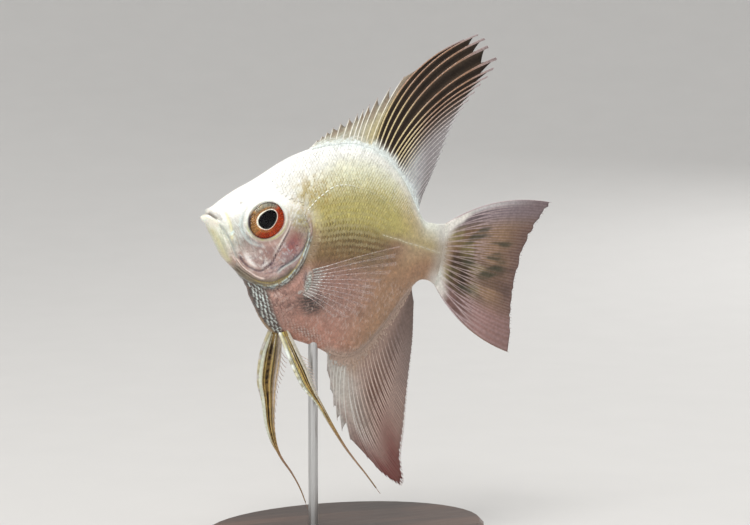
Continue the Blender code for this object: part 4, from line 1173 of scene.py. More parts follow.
def scale_roots(tables, pitch, row):
    """Rows of scale roots, by distance along the body and round it, that arch over the trunk by a bell curve
    and close up towards the tail. Odd rows are set half a pitch back."""
    stations, _, lengths = tables
    fine = np.linspace(3.0, BODY_LENGTH, 3000)
    ticks = np.concatenate([[0], np.cumsum(np.diff(fine) / (pitch * closing(fine[1:])))])
    number, tick = np.meshgrid(np.arange(-90, 91), np.arange(0, math.ceil(ticks[-1]) + 1), indexing="ij")
    place = tick + 0.5 * (number % 2)
    s = np.interp(place, ticks, fine)

    def row_girth(s_at):
        return 2.1 * bell(s_at, 27, 10.0) + number * row * closing(s_at)

    girth = row_girth(s)
    slope = (row_girth(s + 0.25) - girth) / 0.25
    k = np.clip(np.searchsorted(stations, s), 0, len(stations) - 1)
    keep = (girth > lengths[k, 0]) & (girth < lengths[k, -1]) & (place < ticks[-1])
    return [part[keep] for part in (s, girth, np.arctan(slope), number)]


def scale_shape():
    """One scale's grid, from its sunken root to a rounded, lifted edge, and one low point under its middle:
    share along, place across, then how far each point reaches, spreads and rises, and how deep it sinks. The
    half-width swells towards the free edge, which is an arc."""
    t, w = (part.ravel() for part in np.meshgrid(SCALE_ALONG, np.linspace(-1, 1, SCALE_COLUMNS), indexing="ij"))
    reach = t * (1 - 0.26 * w * w)
    spread = w * (0.58 + 0.42 * np.sin(math.pi * np.clip(0.12 + 0.75 * t, 0, 1)))
    arched = (-0.5 + 1.5 * np.minimum(t, 0.9) / 0.9) * (1 - 0.55 * w * w)
    high = arched - 0.55 * (t > 0.95) - 0.35 * np.abs(w) ** 4
    low = (0.55, 0.0, 0.55, 0.0, 0.0)
    shape = [np.append(part, last) for part, last in zip((t, w, reach, spread / 2, high), low)]
    return (*shape, np.append(0 * t, 1.0))


def scale_faces(count):
    """Faces of many scales: the quads of each grid, and a cone of triangles from its rim to the low point."""
    each = SCALE_ROWS * SCALE_COLUMNS + 1
    base = (np.arange(count) * each)[:, None, None]
    rim = rim_loop(SCALE_ROWS, SCALE_COLUMNS)
    cone = np.stack([np.roll(rim, -1), rim, np.full(len(rim), each - 1)], axis=1)
    return [(grid_faces(SCALE_ROWS, SCALE_COLUMNS) + base).reshape(-1, 4), (cone + base).reshape(-1, 3)]


def scale_solids(root, lie, normal, length, width, lift):
    """Closed thin scales that stand straight on their roots."""
    t, w, reach, spread, high, sink = scale_shape()
    aside = np.cross(normal, lie)
    points = (root[:, None] + lie[:, None] * (reach * length[:, None])[..., None]
              + aside[:, None] * (spread * width[:, None])[..., None]
              + normal[:, None] * (high * lift[:, None] - 0.02 * sink)[..., None])
    return points, t, w


def wrapped_scales(tables, s, girth, way, length, width, lift, tilt):
    """Closed thin scales that follow the body: each point is laid out on the unrolled side, then put back on
    the skin and raised along its normal by the relief and the scale's own height."""
    depth = bpy.context.scene.angelfish_skin.depth
    t, w, reach, spread, high, sink = scale_shape()
    along, across = reach * length[:, None], spread * width[:, None]
    turn, bend = np.cos(way)[:, None], np.sin(way)[:, None]
    s_at = np.clip(s[:, None] + along * turn - across * bend, 0.1, BODY_LENGTH - 0.05)
    girth_at = girth[:, None] + along * bend + across * turn
    angle = surface_angle(tables, s_at, girth_at)
    points = section(s_at, angle, depth)
    up = relief(points[..., 0], points[..., 2]) + high * lift[:, None] + along * tilt[:, None] - 0.12 * sink
    return points + section_normal(s_at, angle, depth) * up[..., None], t, w


def scale_finish():
    """The material that every scale shares."""
    return finish("scales", body_material, 0.08, 0.00022, 0.36, 0.00003, 0.22)


def scale_uvs(unwrap, t, w):
    """UVs of many scales: each one's place on the unrolled side, and its own points spread a little round
    it."""
    return (unwrap[:, None] + 0.003 * np.stack([t - 0.5, w / 2], axis=-1)[None]).reshape(-1, 2)


def scale_beds(tables):
    """Where one side's scales grow, and how long, wide and raised each is: the trunk's, the breast's larger
    ones and the smaller ones of the cheek and gill cover."""
    look = bpy.context.scene.angelfish_skin
    fields = []
    beds = ((TRUNK_FIELD, look.pitch, look.row, look.lift), (BREAST_FIELD, 0.68, 0.66, 0.06),
            (CHEEK_FIELD, 0.5, 0.5, 0.014), (OPERCLE_FIELD, 0.55, 0.55, 0.014))
    for outline, pitch, row, lift in beds:
        s, girth, way, number = scale_roots(tables, pitch, row)
        h = section(s, surface_angle(tables, s, girth), look.depth)[:, 2]
        keep = inside(s, h, outline)
        rise = np.ones(len(s))
        if outline is TRUNK_FIELD:
            keep &= ~inside(s, h, BREAST_FIELD)
            border, _ = to_line(s, h, TRUNK_FIELD[1:-3], 60)
            rearwards = 0.3 + 0.7 * smooth(15, 24, s - 0.3 * h)
            rise = 0.22 + 0.78 * smooth(0.0, 3.5, np.abs(border)) * rearwards * smooth(49.2, 46, s)
        away = np.hypot((s - PECTORAL_BASE[0]) / 0.7, (h - PECTORAL_BASE[1]) / 2.4)
        radius, _ = eye_polar(s, h)
        keep &= (away > 1.0) & (radius > 3.9) & (s < BODY_LENGTH - 0.95)
        s, h, girth, way, number, rise = (part[keep] for part in (s, h, girth, way, number, rise))
        size = closing(s)
        fields.append((s, h, girth, way, size * pitch * SCALE_LONG, size * row * SCALE_WIDE,
                       lift * rise * (0.6 + 0.4 * size), number))
    return [np.concatenate(part) for part in zip(*fields)]


def build_coat(side):
    """One side's scales: where they grow, then each one's own small random turn, shift and tilt, and colours by
    place on the side, by place on the scale and by chance. Silver scales carry a painted highlight, a crescent
    at the free edge, and the rest of each is painted dark."""
    look = bpy.context.scene.angelfish_skin
    chance = np.random.default_rng(11 + side)
    tables = girth_tables(look.depth)
    s, h, girth, way, length, width, lift, number = scale_beds(tables)
    count = len(s)

    def luck(low=0.0, high=1.0):
        """One even random value for each scale."""
        return chance.uniform(low, high, (count, 1))

    way = way + chance.normal(0, 0.09, count)
    girth = girth + chance.normal(0, 0.03, count)
    tilt = chance.normal(0, 0.012, count) * lift / look.lift
    points, t, w = wrapped_scales(tables, s, girth, way, length, width, lift, tilt)
    s0, h0 = s[:, None], h[:, None]
    s, h = points[..., 0], points[..., 2]
    base = markings(s, h) * (1 + chance.normal(0, 0.035, (count, 1, 1)))
    even = np.where(number % 2 == 0, 1.0, 0.0)[:, None]
    rim = smooth(0.6, 0.95, t)[None]
    middle = smooth(0.85, 0.35, np.abs(w))[None]
    level = level_of(s0, h0)
    upper = smooth(0.08, 0.3, level) * smooth(0.9, 0.6, level + 0.012 * (22 - s0))
    upper = upper * smooth(15.0, 19, s0) * smooth(43, 38, s0)
    patchy = smooth(0.25, 0.7, cloud(s0 / 0.9, h0 / 0.9, 24))
    edge = smooth(0.62, 0.78, t + 0.10 * w * np.sign(0.5 - even))
    bars = row_bars(s0, h0)
    stroke = mix(plain(look.bars, s.shape), (0.27, 0.19, 0.05), smooth(1.5, 4.5, h0) + 0 * w)
    worn = 0.55 + 0.45 * smooth(0.3, 0.6, cloud(s0 / 1.1, h0 / 0.7, 42))
    belly = smooth(-4, -8, h0) * smooth(20, 22, s0)
    silver = silver_mask(s, h)
    # Painted highlight: a crescent across each silver scale's free edge, leaning to its upper half.
    highlight_crescent = bell(t + 0.42 * w, 0.9, 0.14) * smooth(0.5, 0.62, t) * smooth(1.0, 0.7, np.abs(w))
    base = layers(
        base,
        ((0.36, 0.26, 0.045), upper * edge * (0.15 + 0.85 * patchy) * luck() * 0.5),
        ((0.63, 0.56, 0.21), upper * (1 - edge) * smooth(0.6, 0.3, level) * luck(0.1, 0.6)),
        ((0.88, 0.88, 0.72), upper * (1 - edge) * smooth(0.35, 0.7, level) * 0.55),
        ((0.39, 0.325, 0.16), bars * (1 - even) * smooth(-3.5, 1.0, h0) * 0.55),
        (stroke, bars * even * rim * middle * worn * luck(0.35)),
        ((0.62, 0.54, 0.34), bars * (1 - even) * rim * middle * luck() ** 2 * 0.5),
        ((0.72, 0.56, 0.49), belly * rim * luck() ** 3 * 0.6),
        # Painted shade: the rest of each silver scale darkened, as silver that catches no light.
        ((0.045, 0.035, 0.032), silver * (1 - highlight_crescent) * 0.75),
    )
    # The painted highlight's colour; its mask also makes that spot metallic.
    glint = silver * highlight_crescent * luck(0.35)
    tint = rgba(mix(base, (0.90, 1.0, 0.95), glint), glint * 0.45)
    points[..., 1] *= side
    unwrap = np.stack([s0[:, 0] / 60 + 0.08, 0.5 + girth / 64], axis=1)
    name = "coat_left" if side == LEFT else "coat_right"
    make_piece(name, points.reshape(-1, 3), scale_faces(count), scale_finish(),
               colours=tint.reshape(-1, 4), maps={"OFBake": scale_uvs(unwrap, t, w)})


def build_lateral_line():
    """Raised canal scales along both arms of the lateral line, on both sides: short rods that swell in the
    middle."""
    depth = bpy.context.scene.angelfish_skin.depth
    blocks = []
    for line, number, above, thick, thinning, pale, dull in LATERAL_ARMS:
        for side in (LEFT, RIGHT):
            start = np.linspace(0, 1 - 1 / number, number)[:, None]
            share = start + np.linspace(0.06, 0.72, 7)[None] / number
            path = smooth_path(line, 400)
            s, h = (np.interp(share, np.linspace(0, 1, 400), path[:, k]) for k in range(2))
            middle = widest_at(s)
            reach = np.where(h > middle, back_line(s) - depth - middle, middle - belly_line(s) - depth)
            angle = np.arcsin(np.clip((h - middle) / reach, -1, 1))
            points = section(s, angle, depth) + section_normal(s, angle, depth) * above
            points[..., 1] *= side
            radii = np.sin(math.pi * np.linspace(0.12, 0.88, 7)) * thick * (1 - thinning * start)
            rods, faces = tubes(points, radii, 8, 0.7)
            colours = mix(plain(pale, share.shape), dull, smooth(0.40, 0.8, share) * 0.92)
            blocks.append((rods, faces, per_tube(colours, 8), np.zeros((len(rods), 2))))
    points, faces, colours, _ = join(blocks)
    make_piece("lateral_line", points, faces, scale_finish(), colours=rgba(colours, 0.0))


# ---------------------------------------------------------------- eyes


def eye_axes(side):
    """Centre of the iris plane, and the directions towards the tail, upwards and outwards on it. The disc faces
    slightly forwards and upwards, as the flank does."""
    out = unit(np.array([-0.04, side, 0.06]))
    rear = unit(np.array([1.0, 0.0, 0.0]) - out * out[0])
    up = np.cross(out, rear)
    return np.array([EYE[0], side * EYE_OUT, EYE[1]]), rear, up * np.sign(up[2]), out


def eye_rings(radius, around):
    """Rings round the eye's axis, a little taller than wide: places towards the tail and upwards."""
    turn = 2 * math.pi * np.arange(around) / around
    return radius[:, None] * np.cos(turn), radius[:, None] * np.sin(turn) * EYE_TALL


def on_eye(axes, x, y, z):
    """Places on the eye as points of the body, along the leaning axes of the iris plane and outwards from
    it."""
    centre, rear, up, out = axes
    return centre + (x + EYE_LEAN * y)[..., None] * rear + y[..., None] * up + z[..., None] * out


def iris_colours(share, angle, from_pupil):
    """The iris by the share of its radius, the angle round it and the distance from the pupil's edge: fibres of
    random values, a red and an olive side, a dark rim, painted shade at its front edge, the pale ring and the
    black pupil."""
    look = bpy.context.scene.angelfish_eyes

    def facing(degrees):
        """The cosine of the angle from a direction: 1 there and -1 opposite."""
        return np.cos(angle - math.radians(degrees))

    fibres = streaks(angle * 3.0, share * 2.0, 90, 0.9, 0.10, 21)
    front = smooth(0.75, 0.97, facing(160))
    thick = 0.14 + 0.16 * smooth(0.2, 0.95, facing(185))
    ground = layers(
        plain(look.olive, share.shape),
        (look.red, smooth(-0.3, 0.5, facing(-22) + 0.2 + 0.5 * (fibres - 0.5))),
        ((0.36, 0.17, 0.05), smooth(0.35, 0.9, facing(195)) * 0.85),
        ((0.36, 0.36, 0.29),
         smooth(0.55, 0.92, np.sin(angle - math.radians(24))) * smooth(0.6, 0.9, share) * 0.85),
        ((0.52, 0.24, 0.07), bell(from_pupil, 0.42, 0.2) * smooth(0.9, -0.2, np.cos(angle - 0.3)) * 0.7),
    )
    return layers(
        ground * (0.45 + 1.1 * fibres)[..., None],
        ((0.60, 0.33, 0.09), front * smooth(0.76, 0.92, share) * smooth(0.45, 0.65, fibres) * 0.8),
        ((0.05, 0.012, 0.012), smooth(0.92, 1.0, share) * (0.7 - 0.5 * front)),
        # Painted shade: the iris's rim darkened at its front edge.
        ((0.03, 0.02, 0.035), smooth(0.88, 0.98, share) * smooth(0.90, 0.98, facing(193)) * 0.8),
        (look.ring, smooth(thick + 0.06, thick - 0.05, from_pupil)),
        (PUPIL_BLACK, smooth(0.05, -0.04, from_pupil)),
    )


def build_eye(side):
    """The eyeball: a shallow dome for the iris, a bulging pupil in it, and a rounded back. Its colours follow
    the distance from the centre and the angle round it."""
    axes = eye_axes(side)
    centre, _, _, out = axes
    rings = EYE_FRONT_RINGS + len(EYE_BACK_RADII)
    radius = EYE_RADIUS * np.concatenate([np.linspace(0.02, 1.0, EYE_FRONT_RINGS), EYE_BACK_RADII])
    x, y = eye_rings(radius, EYE_AROUND)
    pupil_x, pupil_y = x + 0.10, y - 0.04
    tilt = np.arctan2(pupil_y, pupil_x) - math.radians(62)
    edge = 1 + 0.085 * np.cos(tilt) + 0.08 * np.cos(2 * tilt) + 0.045 * np.cos(3 * tilt)
    from_pupil = np.hypot(pupil_x, pupil_y) - bpy.context.scene.angelfish_eyes.pupil * edge
    dome = 0.34 * np.sqrt(np.clip(1 - (radius / EYE_RADIUS) ** 2 * 0.98, 0, 1))[:, None] - 0.1
    bulge = 0.10 * smooth(0.15, -0.5, from_pupil) - 0.05 * bell(from_pupil, 0.35, 0.25)
    back = -0.1 - 1.5 * np.sin(np.linspace(0.08, math.pi / 2, len(EYE_BACK_RADII)))
    back = np.concatenate([np.zeros(EYE_FRONT_RINGS), back])[:, None]
    z = np.where(np.arange(rings)[:, None] < EYE_FRONT_RINGS, dome + bulge, back)
    points, faces = closed_rings(on_eye(axes, x, y, z), centre + out * 0.34, centre - out * 1.62)
    share, angle = np.hypot(x, y) / EYE_RADIUS, np.arctan2(y, x)
    tint = np.concatenate([iris_colours(share, angle, from_pupil).reshape(-1, 3),
                           [PUPIL_BLACK, (0.2, 0.1, 0.05)]])
    polar = np.stack([angle / (2 * math.pi) * 3, share], axis=-1).reshape(-1, 2)
    polar = np.concatenate([polar, np.zeros((2, 2))])
    name = "eyeball_left" if side == LEFT else "eyeball_right"
    made = make_piece(name, points, faces, finish("iris", iris_material), colours=tint,
                      maps={"polar": polar})
    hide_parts("eye_left" if side == LEFT else "eye_right")
    build_cornea(side, axes)


def build_cornea(side, axes):
    """A clear closed lens over the iris: its outer face is a low dome, its inner one a lower dome."""
    centre, _, _, out = axes
    angle = np.linspace(0, math.pi, CORNEA_RINGS + 2)[1:-1]
    x, y = eye_rings((EYE_RADIUS + 0.02) * np.sin(angle), CORNEA_AROUND)
    height = np.where(angle < math.pi / 2, 0.80, 0.50) * np.abs(np.cos(angle)) - 0.02
    rings = on_eye(axes, x, y, height[:, None] + 0 * x)
    points, faces = closed_rings(rings, centre + out * 0.76, centre + out * 0.48)
    name = "cornea_left" if side == LEFT else "cornea_right"
    make_piece(name, points, faces, finish("cornea", cornea_material))


def iris_material(name):
    """The painted iris, with fibres that run out from the pupil and specks of dark pigment."""
    made, tree, shader = start_material(name, Specular_IOR_Level=0.02)
    tint = node(tree, "Attribute", attribute_name="tint").outputs["Color"]
    uv = node(tree, "UVMap", uv_map="polar").outputs["UV"]
    fibre = stretched_noise(tree, uv, (10.0, 2.2, 1.0), Scale=4.0, Detail=4.0, Roughness=0.65)
    specks = node(tree, "TexNoise",
                  {"Vector": object_place(tree), "Scale": 4200.0, "Detail": 2.0}).outputs["Fac"]
    light = ranged(tree, maths(tree, "ADD", fibre, specks), 0.42, 1.6, 0.65, 1.35)
    feed(tree, shader, {"Base Color": scaled_colour(tree, tint, light)})
    fine_finish(tree, shader, fibre, 0.2, 0.45, strength=0.4, height=0.00004)
    return made


def cornea_material(name):
    """Clear and glossy: mostly see-through, with a faint unevenness in its gloss."""
    made, tree, shader = start_material(name, Base_Color=(1, 1, 1, 1), Transmission_Weight=1.0, IOR=1.2,
                                        Metallic=0.0)
    cloudy = node(tree, "TexNoise",
                  {"Vector": object_place(tree), "Scale": 700.0, "Detail": 1.0}).outputs["Fac"]
    feed(tree, shader, {"Roughness": ranged(tree, cloudy, 0.0, 0.03)})
    return made


# ---------------------------------------------------------------- fins


def bowed(root, tip, bow, share):
    """Points of a ray that sags to one side: a quadratic curve through a middle point set off the chord."""
    chord = tip - root
    aside = np.stack([-chord[..., 1], chord[..., 0]], axis=-1)
    control = (root + tip) / 2 + 2 * bow[..., None] * aside
    share = share[..., None]
    return (1 - share) ** 2 * root + 2 * share * (1 - share) * control + share**2 * tip


class Fan:
    """A fin as a surface of two numbers: i, the ray number, whole on a ray and broken between rays, and v, from
    0 at the root to 1 at the tip. thin is its web's thickness, and swell what its fleshy base adds at each ray
    up to the distance start, falling off beyond over a length of fade."""

    def __init__(self, roots, tips, bows, across, thin, swell, fade, start=0.0):
        self.roots, self.tips, self.bows, self.across = roots, tips, bows, across
        self.count = len(roots)
        self.thin, self.swell, self.start, self.fade = thin, np.broadcast_to(swell, self.count), start, fade
        self.lengths = np.linalg.norm(tips - roots, axis=1)

    def by_ray(self, i, values):
        """A straight blend of the values of the two neighbouring rays."""
        return np.interp(i, np.arange(1, self.count + 1), values)

    def thick(self, i, v):
        """Thickness of the web: it thins by two fifths towards the tip, and gains an exponential fall-off of
        the distance from the fleshy base."""
        fall = np.exp(-np.clip(self.far(i, v) - self.start, 0, None) / self.fade)
        return self.thin * (1 - 0.4 * v) + self.by_ray(i, self.swell) * fall

    def far(self, i, v):
        """Distance from the root along a ray: the share times the ray's length."""
        return v * self.by_ray(i, self.lengths)

    def at(self, i, v):
        """Places by ray number and share along: the two neighbouring rays' points, blended."""
        i, v = np.broadcast_arrays(np.asarray(i, float), np.asarray(v, float))
        low = np.clip(np.floor(i).astype(int), 1, self.count - 1)
        part = (i - low)[..., None]
        near, next_ray = (bowed(self.roots[k], self.tips[k], self.bows[k], v) for k in (low - 1, low))
        flat = (1 - part) * near + part * next_ray
        return np.stack([flat[..., 0], self.across(i, v), flat[..., 1]], axis=-1)

    def web(self, rows, between, notch, colour):
        """The webs as one closed sheet. Its rows crowd towards the root, and the notch, by ray number and place
        between two rays, draws in its free edge."""
        i = 1 + np.arange((self.count - 1) * between + 1) / between
        v = np.linspace(0, 1, rows)[:, None] ** 1.25 * (1 - notch(i, i - np.floor(i)))[None]
        i = i[None] + 0 * v
        return sheet_solid(self.at(i, v), self.thick(i, v), colour(i, v))

    def rods(self, numbers, start, stop, radius, spread, colour, steps=14, sides=6):
        """Rays or branches of rays as tapering rods. spread(v) is how far a branch has moved from its ray, in
        ray numbers."""
        v = np.linspace(start, stop, steps)[None]
        numbers = np.asarray(numbers, float)[:, None] + 0 * v
        v = v + 0 * numbers
        paths = self.at(np.clip(numbers + spread(v), 1, self.count), v)
        points, faces = tubes(paths, radius(numbers, v), sides)
        lengths = run_lengths(paths)
        uv = np.stack([lengths + 0.37 * numbers, np.zeros_like(lengths)], axis=-1)
        return points, faces, per_tube(colour(numbers, v), sides), per_tube(uv, sides)


def still(v):
    """No branching: a rod stays on its own ray."""
    return 0 * v


def fork_spread(v, forks, gap, full):
    """How far, in ray numbers, the two branches stand from their ray and the twigs from their branch. Both grow
    by a smooth step that begins just before their fork."""
    return gap * 0.5 * smooth(forks[0] - 0.05, full, v), gap * 0.27 * smooth(forks[1] - 0.03, full, v)


def branched(fan, numbers, radius, colour, forks, gap, full=1.0):
    """Soft rays that fork twice: a stem, two branches and four twigs, each starting inside the one before
    it."""

    def part(start, stop, thin, way, twig):
        """One branch of every ray: way and twig are -1, 0 or 1 and say to which side it stands."""

        def spread(v):
            """The branch's and the twig's distance from the ray, each to its own side."""
            branch, tip = fork_spread(v, forks, gap, full)
            return way * branch + twig * tip

        return fan.rods(numbers, start, stop, lambda i, v: thin * radius(i, v), spread, colour, 8)

    first, second = forks
    blocks = [fan.rods(numbers, 0.0, first + FORK_OVERLAP, radius, still, colour, 12)]
    for way in (-1, 1):
        blocks.append(part(first, second + FORK_OVERLAP, 0.82, way, 0))
        blocks += [part(second, 1.0, 0.70, way, twig) for twig in (-1, 1)]
    return blocks


def split_keys(keys, column, numbers, spines):
    """Tip places by ray number. The spiny and the soft part are separate curves, because the edge steps between
    them."""
    front = [key for key in keys if key[0] <= spines]
    rear = [key for key in keys if key[0] > spines]
    return np.where(numbers <= spines, keyed(front, column)(numbers), keyed(rear, column)(numbers))


def median_fan(keys, count, spines, edge_line, sink, inner):
    """The dorsal or anal fin: roots on the body's edge line, sunk a little, tips from the table, and a slow
    sine wave from side to side that grows with the square of the share along. Its base is as thick as the body
    at the inner distance from the edge, and falls off at the body's own slope there."""
    numbers = np.arange(1, count + 1)
    root_s = keyed(keys, 1)(numbers)
    tips = np.stack([split_keys(keys, 2, numbers, spines), split_keys(keys, 3, numbers, spines)], axis=1)
    roots = np.stack([root_s, edge_line(root_s)], axis=1)
    roots = roots + sink * unit(roots - tips)
    bows = np.interp(numbers, [key[0] for key in keys], [key[4] for key in keys])

    def across(i, v):
        """The slow wave: half a millimetre at the tips."""
        return 0.5 * v**2 * np.sin(2.2 * math.pi * (i - 1) / (count - 1) + 0.6)

    thin = bpy.context.scene.angelfish_fins.web
    inwards = -np.sign(tips[:, 1])
    swell = body_thickness(root_s, edge_line(root_s) + inwards * inner) - thin
    return Fan(roots, tips, bows, across, thin, swell, fade=inner / 0.6, start=sink - inner)


def dorsal_fan():
    """The dorsal fin's surface, on the line of the back."""
    return median_fan(DORSAL_RAYS, DORSAL_COUNT, DORSAL_SPINES, back_line, sink=0.75, inner=0.3)


def anal_fan():
    """The anal fin's surface, on the line of the belly."""
    return median_fan(ANAL_RAYS, ANAL_COUNT, ANAL_SPINES, belly_line, sink=1.2, inner=0.8)


def tail_fan():
    """The tail: roots in a column, tips from the table, and a shallow cup across that grows with the square of
    the share along."""
    numbers = np.arange(1, TAIL_COUNT + 1)
    roots = np.stack([np.full(TAIL_COUNT, TAIL_ROOT_S), keyed(TAIL_RAYS, 1)(numbers)], axis=1)
    tips = np.stack([keyed(TAIL_RAYS, 2)(numbers), keyed(TAIL_RAYS, 3)(numbers)], axis=1)

    def across(i, v):
        """The cup: its edges stand to one side and its middle to the other."""
        return 1.3 * v**2 * (0.6 - (2 * (i - 1) / (TAIL_COUNT - 1) - 1) ** 2)

    thin = bpy.context.scene.angelfish_fins.web
    swell = np.clip(0.97 * body_thickness(BODY_LENGTH, roots[:, 1]) - thin, 0.05, None)
    return Fan(roots, tips, keyed(TAIL_RAYS, 4)(numbers), across, thin, swell, fade=1.9, start=0.9)


def saw(fraction, deep):
    """A free edge that stands high behind each ray and is drawn in, by a power of the place between rays,
    before the next one."""
    return deep * fraction**0.8


def branch_lines(i, v, forks, gap, full):
    """1 on a ray's stem and branches and 0 between them: bell curves of the distance, in ray numbers, from
    each."""
    fraction = i - np.floor(i)
    fraction = np.where(fraction > 0.5, fraction - 1, fraction)
    first, second = fork_spread(v, forks, gap, full)
    return np.max([bell(fraction - a * first, b * second, 0.07) for a in (-1, 1) for b in (-1, 1)], axis=0)


def between_rays(i):
    """1 midway between two rays and 0 on each: half a sine wave."""
    return np.sin(math.pi * (i - np.floor(i)))


def add_fin(name, blocks, web, ray_finish, slot, *nodes, spines=None):
    """A fin's rays, its webs and, where it has them, its spines, as separate pieces that stand for the same
    solid."""
    points, faces, colours, uvs = join(blocks)
    made = [make_piece(name + "_rays", points, faces, ray_finish, colours=colours, maps={"ray": uvs}),
            make_piece(name + "_webs", web[0], web[1], finish("fin_webs", web_material), colours=web[2])]
    if spines:
        points, faces, colours, _ = spines
        bone = finish("spines", spine_material)
        made.append(make_piece(name + "_spines", points, faces, bone, colours=colours))
    for piece in made:
        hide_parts(*nodes)


def fin_ray_finish():
    """The material that the soft rays of the dorsal, anal and tail fins share."""
    return finish("fin_rays", ray_material, (0.20, 0.13, 0.08), 1.5, 0.3)


def build_dorsal():
    """The dorsal fin: round spines, soft rays that fork twice, and webs that are blackish between the long rays
    and clear towards the rear."""
    look = bpy.context.scene.angelfish_fins
    fan = dorsal_fan()
    lilac, streak = np.array(look.lilac), np.array(look.streak)

    def web_colour(i, v):
        """Blackish between the long rays, pearly at the body and misty grey to the rear, clearer towards its
        edge."""
        spiny = smooth(13.0, 12.2, i)
        rear = smooth(19, 27, i)
        low = smooth(3.0, 1.0, fan.far(i, v) + 1.5 * cloud(i * 1.9, v * 30, 33))
        dark = between_rays(i) ** 0.35 * smooth(0.04, 0.10, v) * (1 - spiny) * (1 - 0.9 * rear)
        misty = rear * smooth(0.85, 0.1, v + 0.25 * cloud(i / 1.5, v * 8, 31))
        body = layers(
            plain((0.13, 0.09, 0.06), i.shape),
            ((0.50, 0.47, 0.36), spiny),
            ((0.30, 0.27, 0.28), rear),
            ((0.70, 0.76, 0.78), misty * (0.55 + 0.45 * cloud(i * 1.1, v * 12, 34))),
            ((0.58, 0.48, 0.20), smooth(9, 12, i) * smooth(14, 12.5, i) * smooth(0.75, 0.2, v) * 0.6),
            ((0.10, 0.065, 0.05), spiny * smooth(0.5, 0.85, v) * between_rays(i) ** 0.5 * 0.85),
            ((0.28, 0.20, 0.14),
             spiny * smooth(0.3, 0.6, v) * smooth(0.45, 0.6, cloud(i * 2, v * 5, 35)) * 0.6),
            (streak * 0.45, dark * (0.90 + 0.10 * cloud(i, v * 14, 32))),
            ((0.80, 0.87, 0.84), low),
        )
        alpha = 0.80 + 0.19 * dark - 0.30 * rear * smooth(0.2, 0.95, v) + 0.3 * low
        return rgba(body, np.clip(alpha, 0, 0.99))

    def ray_colour(i, v):
        """Brown beyond the pearly root, lilac at the tips, and greyer to the rear."""
        return rgba(layers(
            plain(look.soft, i.shape),
            ((0.33, 0.185, 0.115), smooth(0.22, 0.5, v)),
            (lilac * 0.8, smooth(0.78, 0.98, v)),
            ((0.50, 0.50, 0.52), smooth(18, 27, i) * 0.8),
            ((0.86, 0.89, 0.84), smooth(2.8, 1.2, fan.far(i, v))),
        ), 1.0)

    def spine_colour(i, v):
        """Bone with a golden tint on the rear spines and dark tips."""
        return rgba(layers(
            plain(look.spine, i.shape),
            ((0.66, 0.58, 0.34), smooth(8, 12, i) * smooth(0.7, 0.3, v) * 0.6),
            ((0.30, 0.22, 0.20), smooth(0.85, 1.0, v)),
        ), 1.0)

    def spine_radius(i, v):
        """Tapers in proportion to the share along, and the first spines are thinner."""
        return look.ray * (0.98 - 0.70 * v) * (0.75 + 0.25 * smooth(1, 6, i))

    def soft_radius(i, v):
        """Tapers in proportion to the share along, and the rear rays are half as thick."""
        return look.ray * (0.86 - 0.22 * v) * (1 - 0.5 * smooth(18, 30, i))

    def notch(i, fraction):
        """A small fixed step back, and a saw edge that is deepest between the spines."""
        return 0.015 + saw(fraction, np.where(i < DORSAL_SPINES, 0.34, 0.10))

    soft = np.arange(DORSAL_SPINES + 1, DORSAL_COUNT + 1)
    blocks = branched(fan, soft, soft_radius, ray_colour, forks=(0.55, 0.80), gap=0.12)
    spines = fan.rods(np.arange(1, DORSAL_SPINES + 1), 0, 1, spine_radius, still, spine_colour, 12, 8)
    web = fan.web(46, 6, notch, web_colour)
    add_fin("dorsal_fin", blocks, web, fin_ray_finish(), "fin_ray", "dorsal_fin", spines=spines)


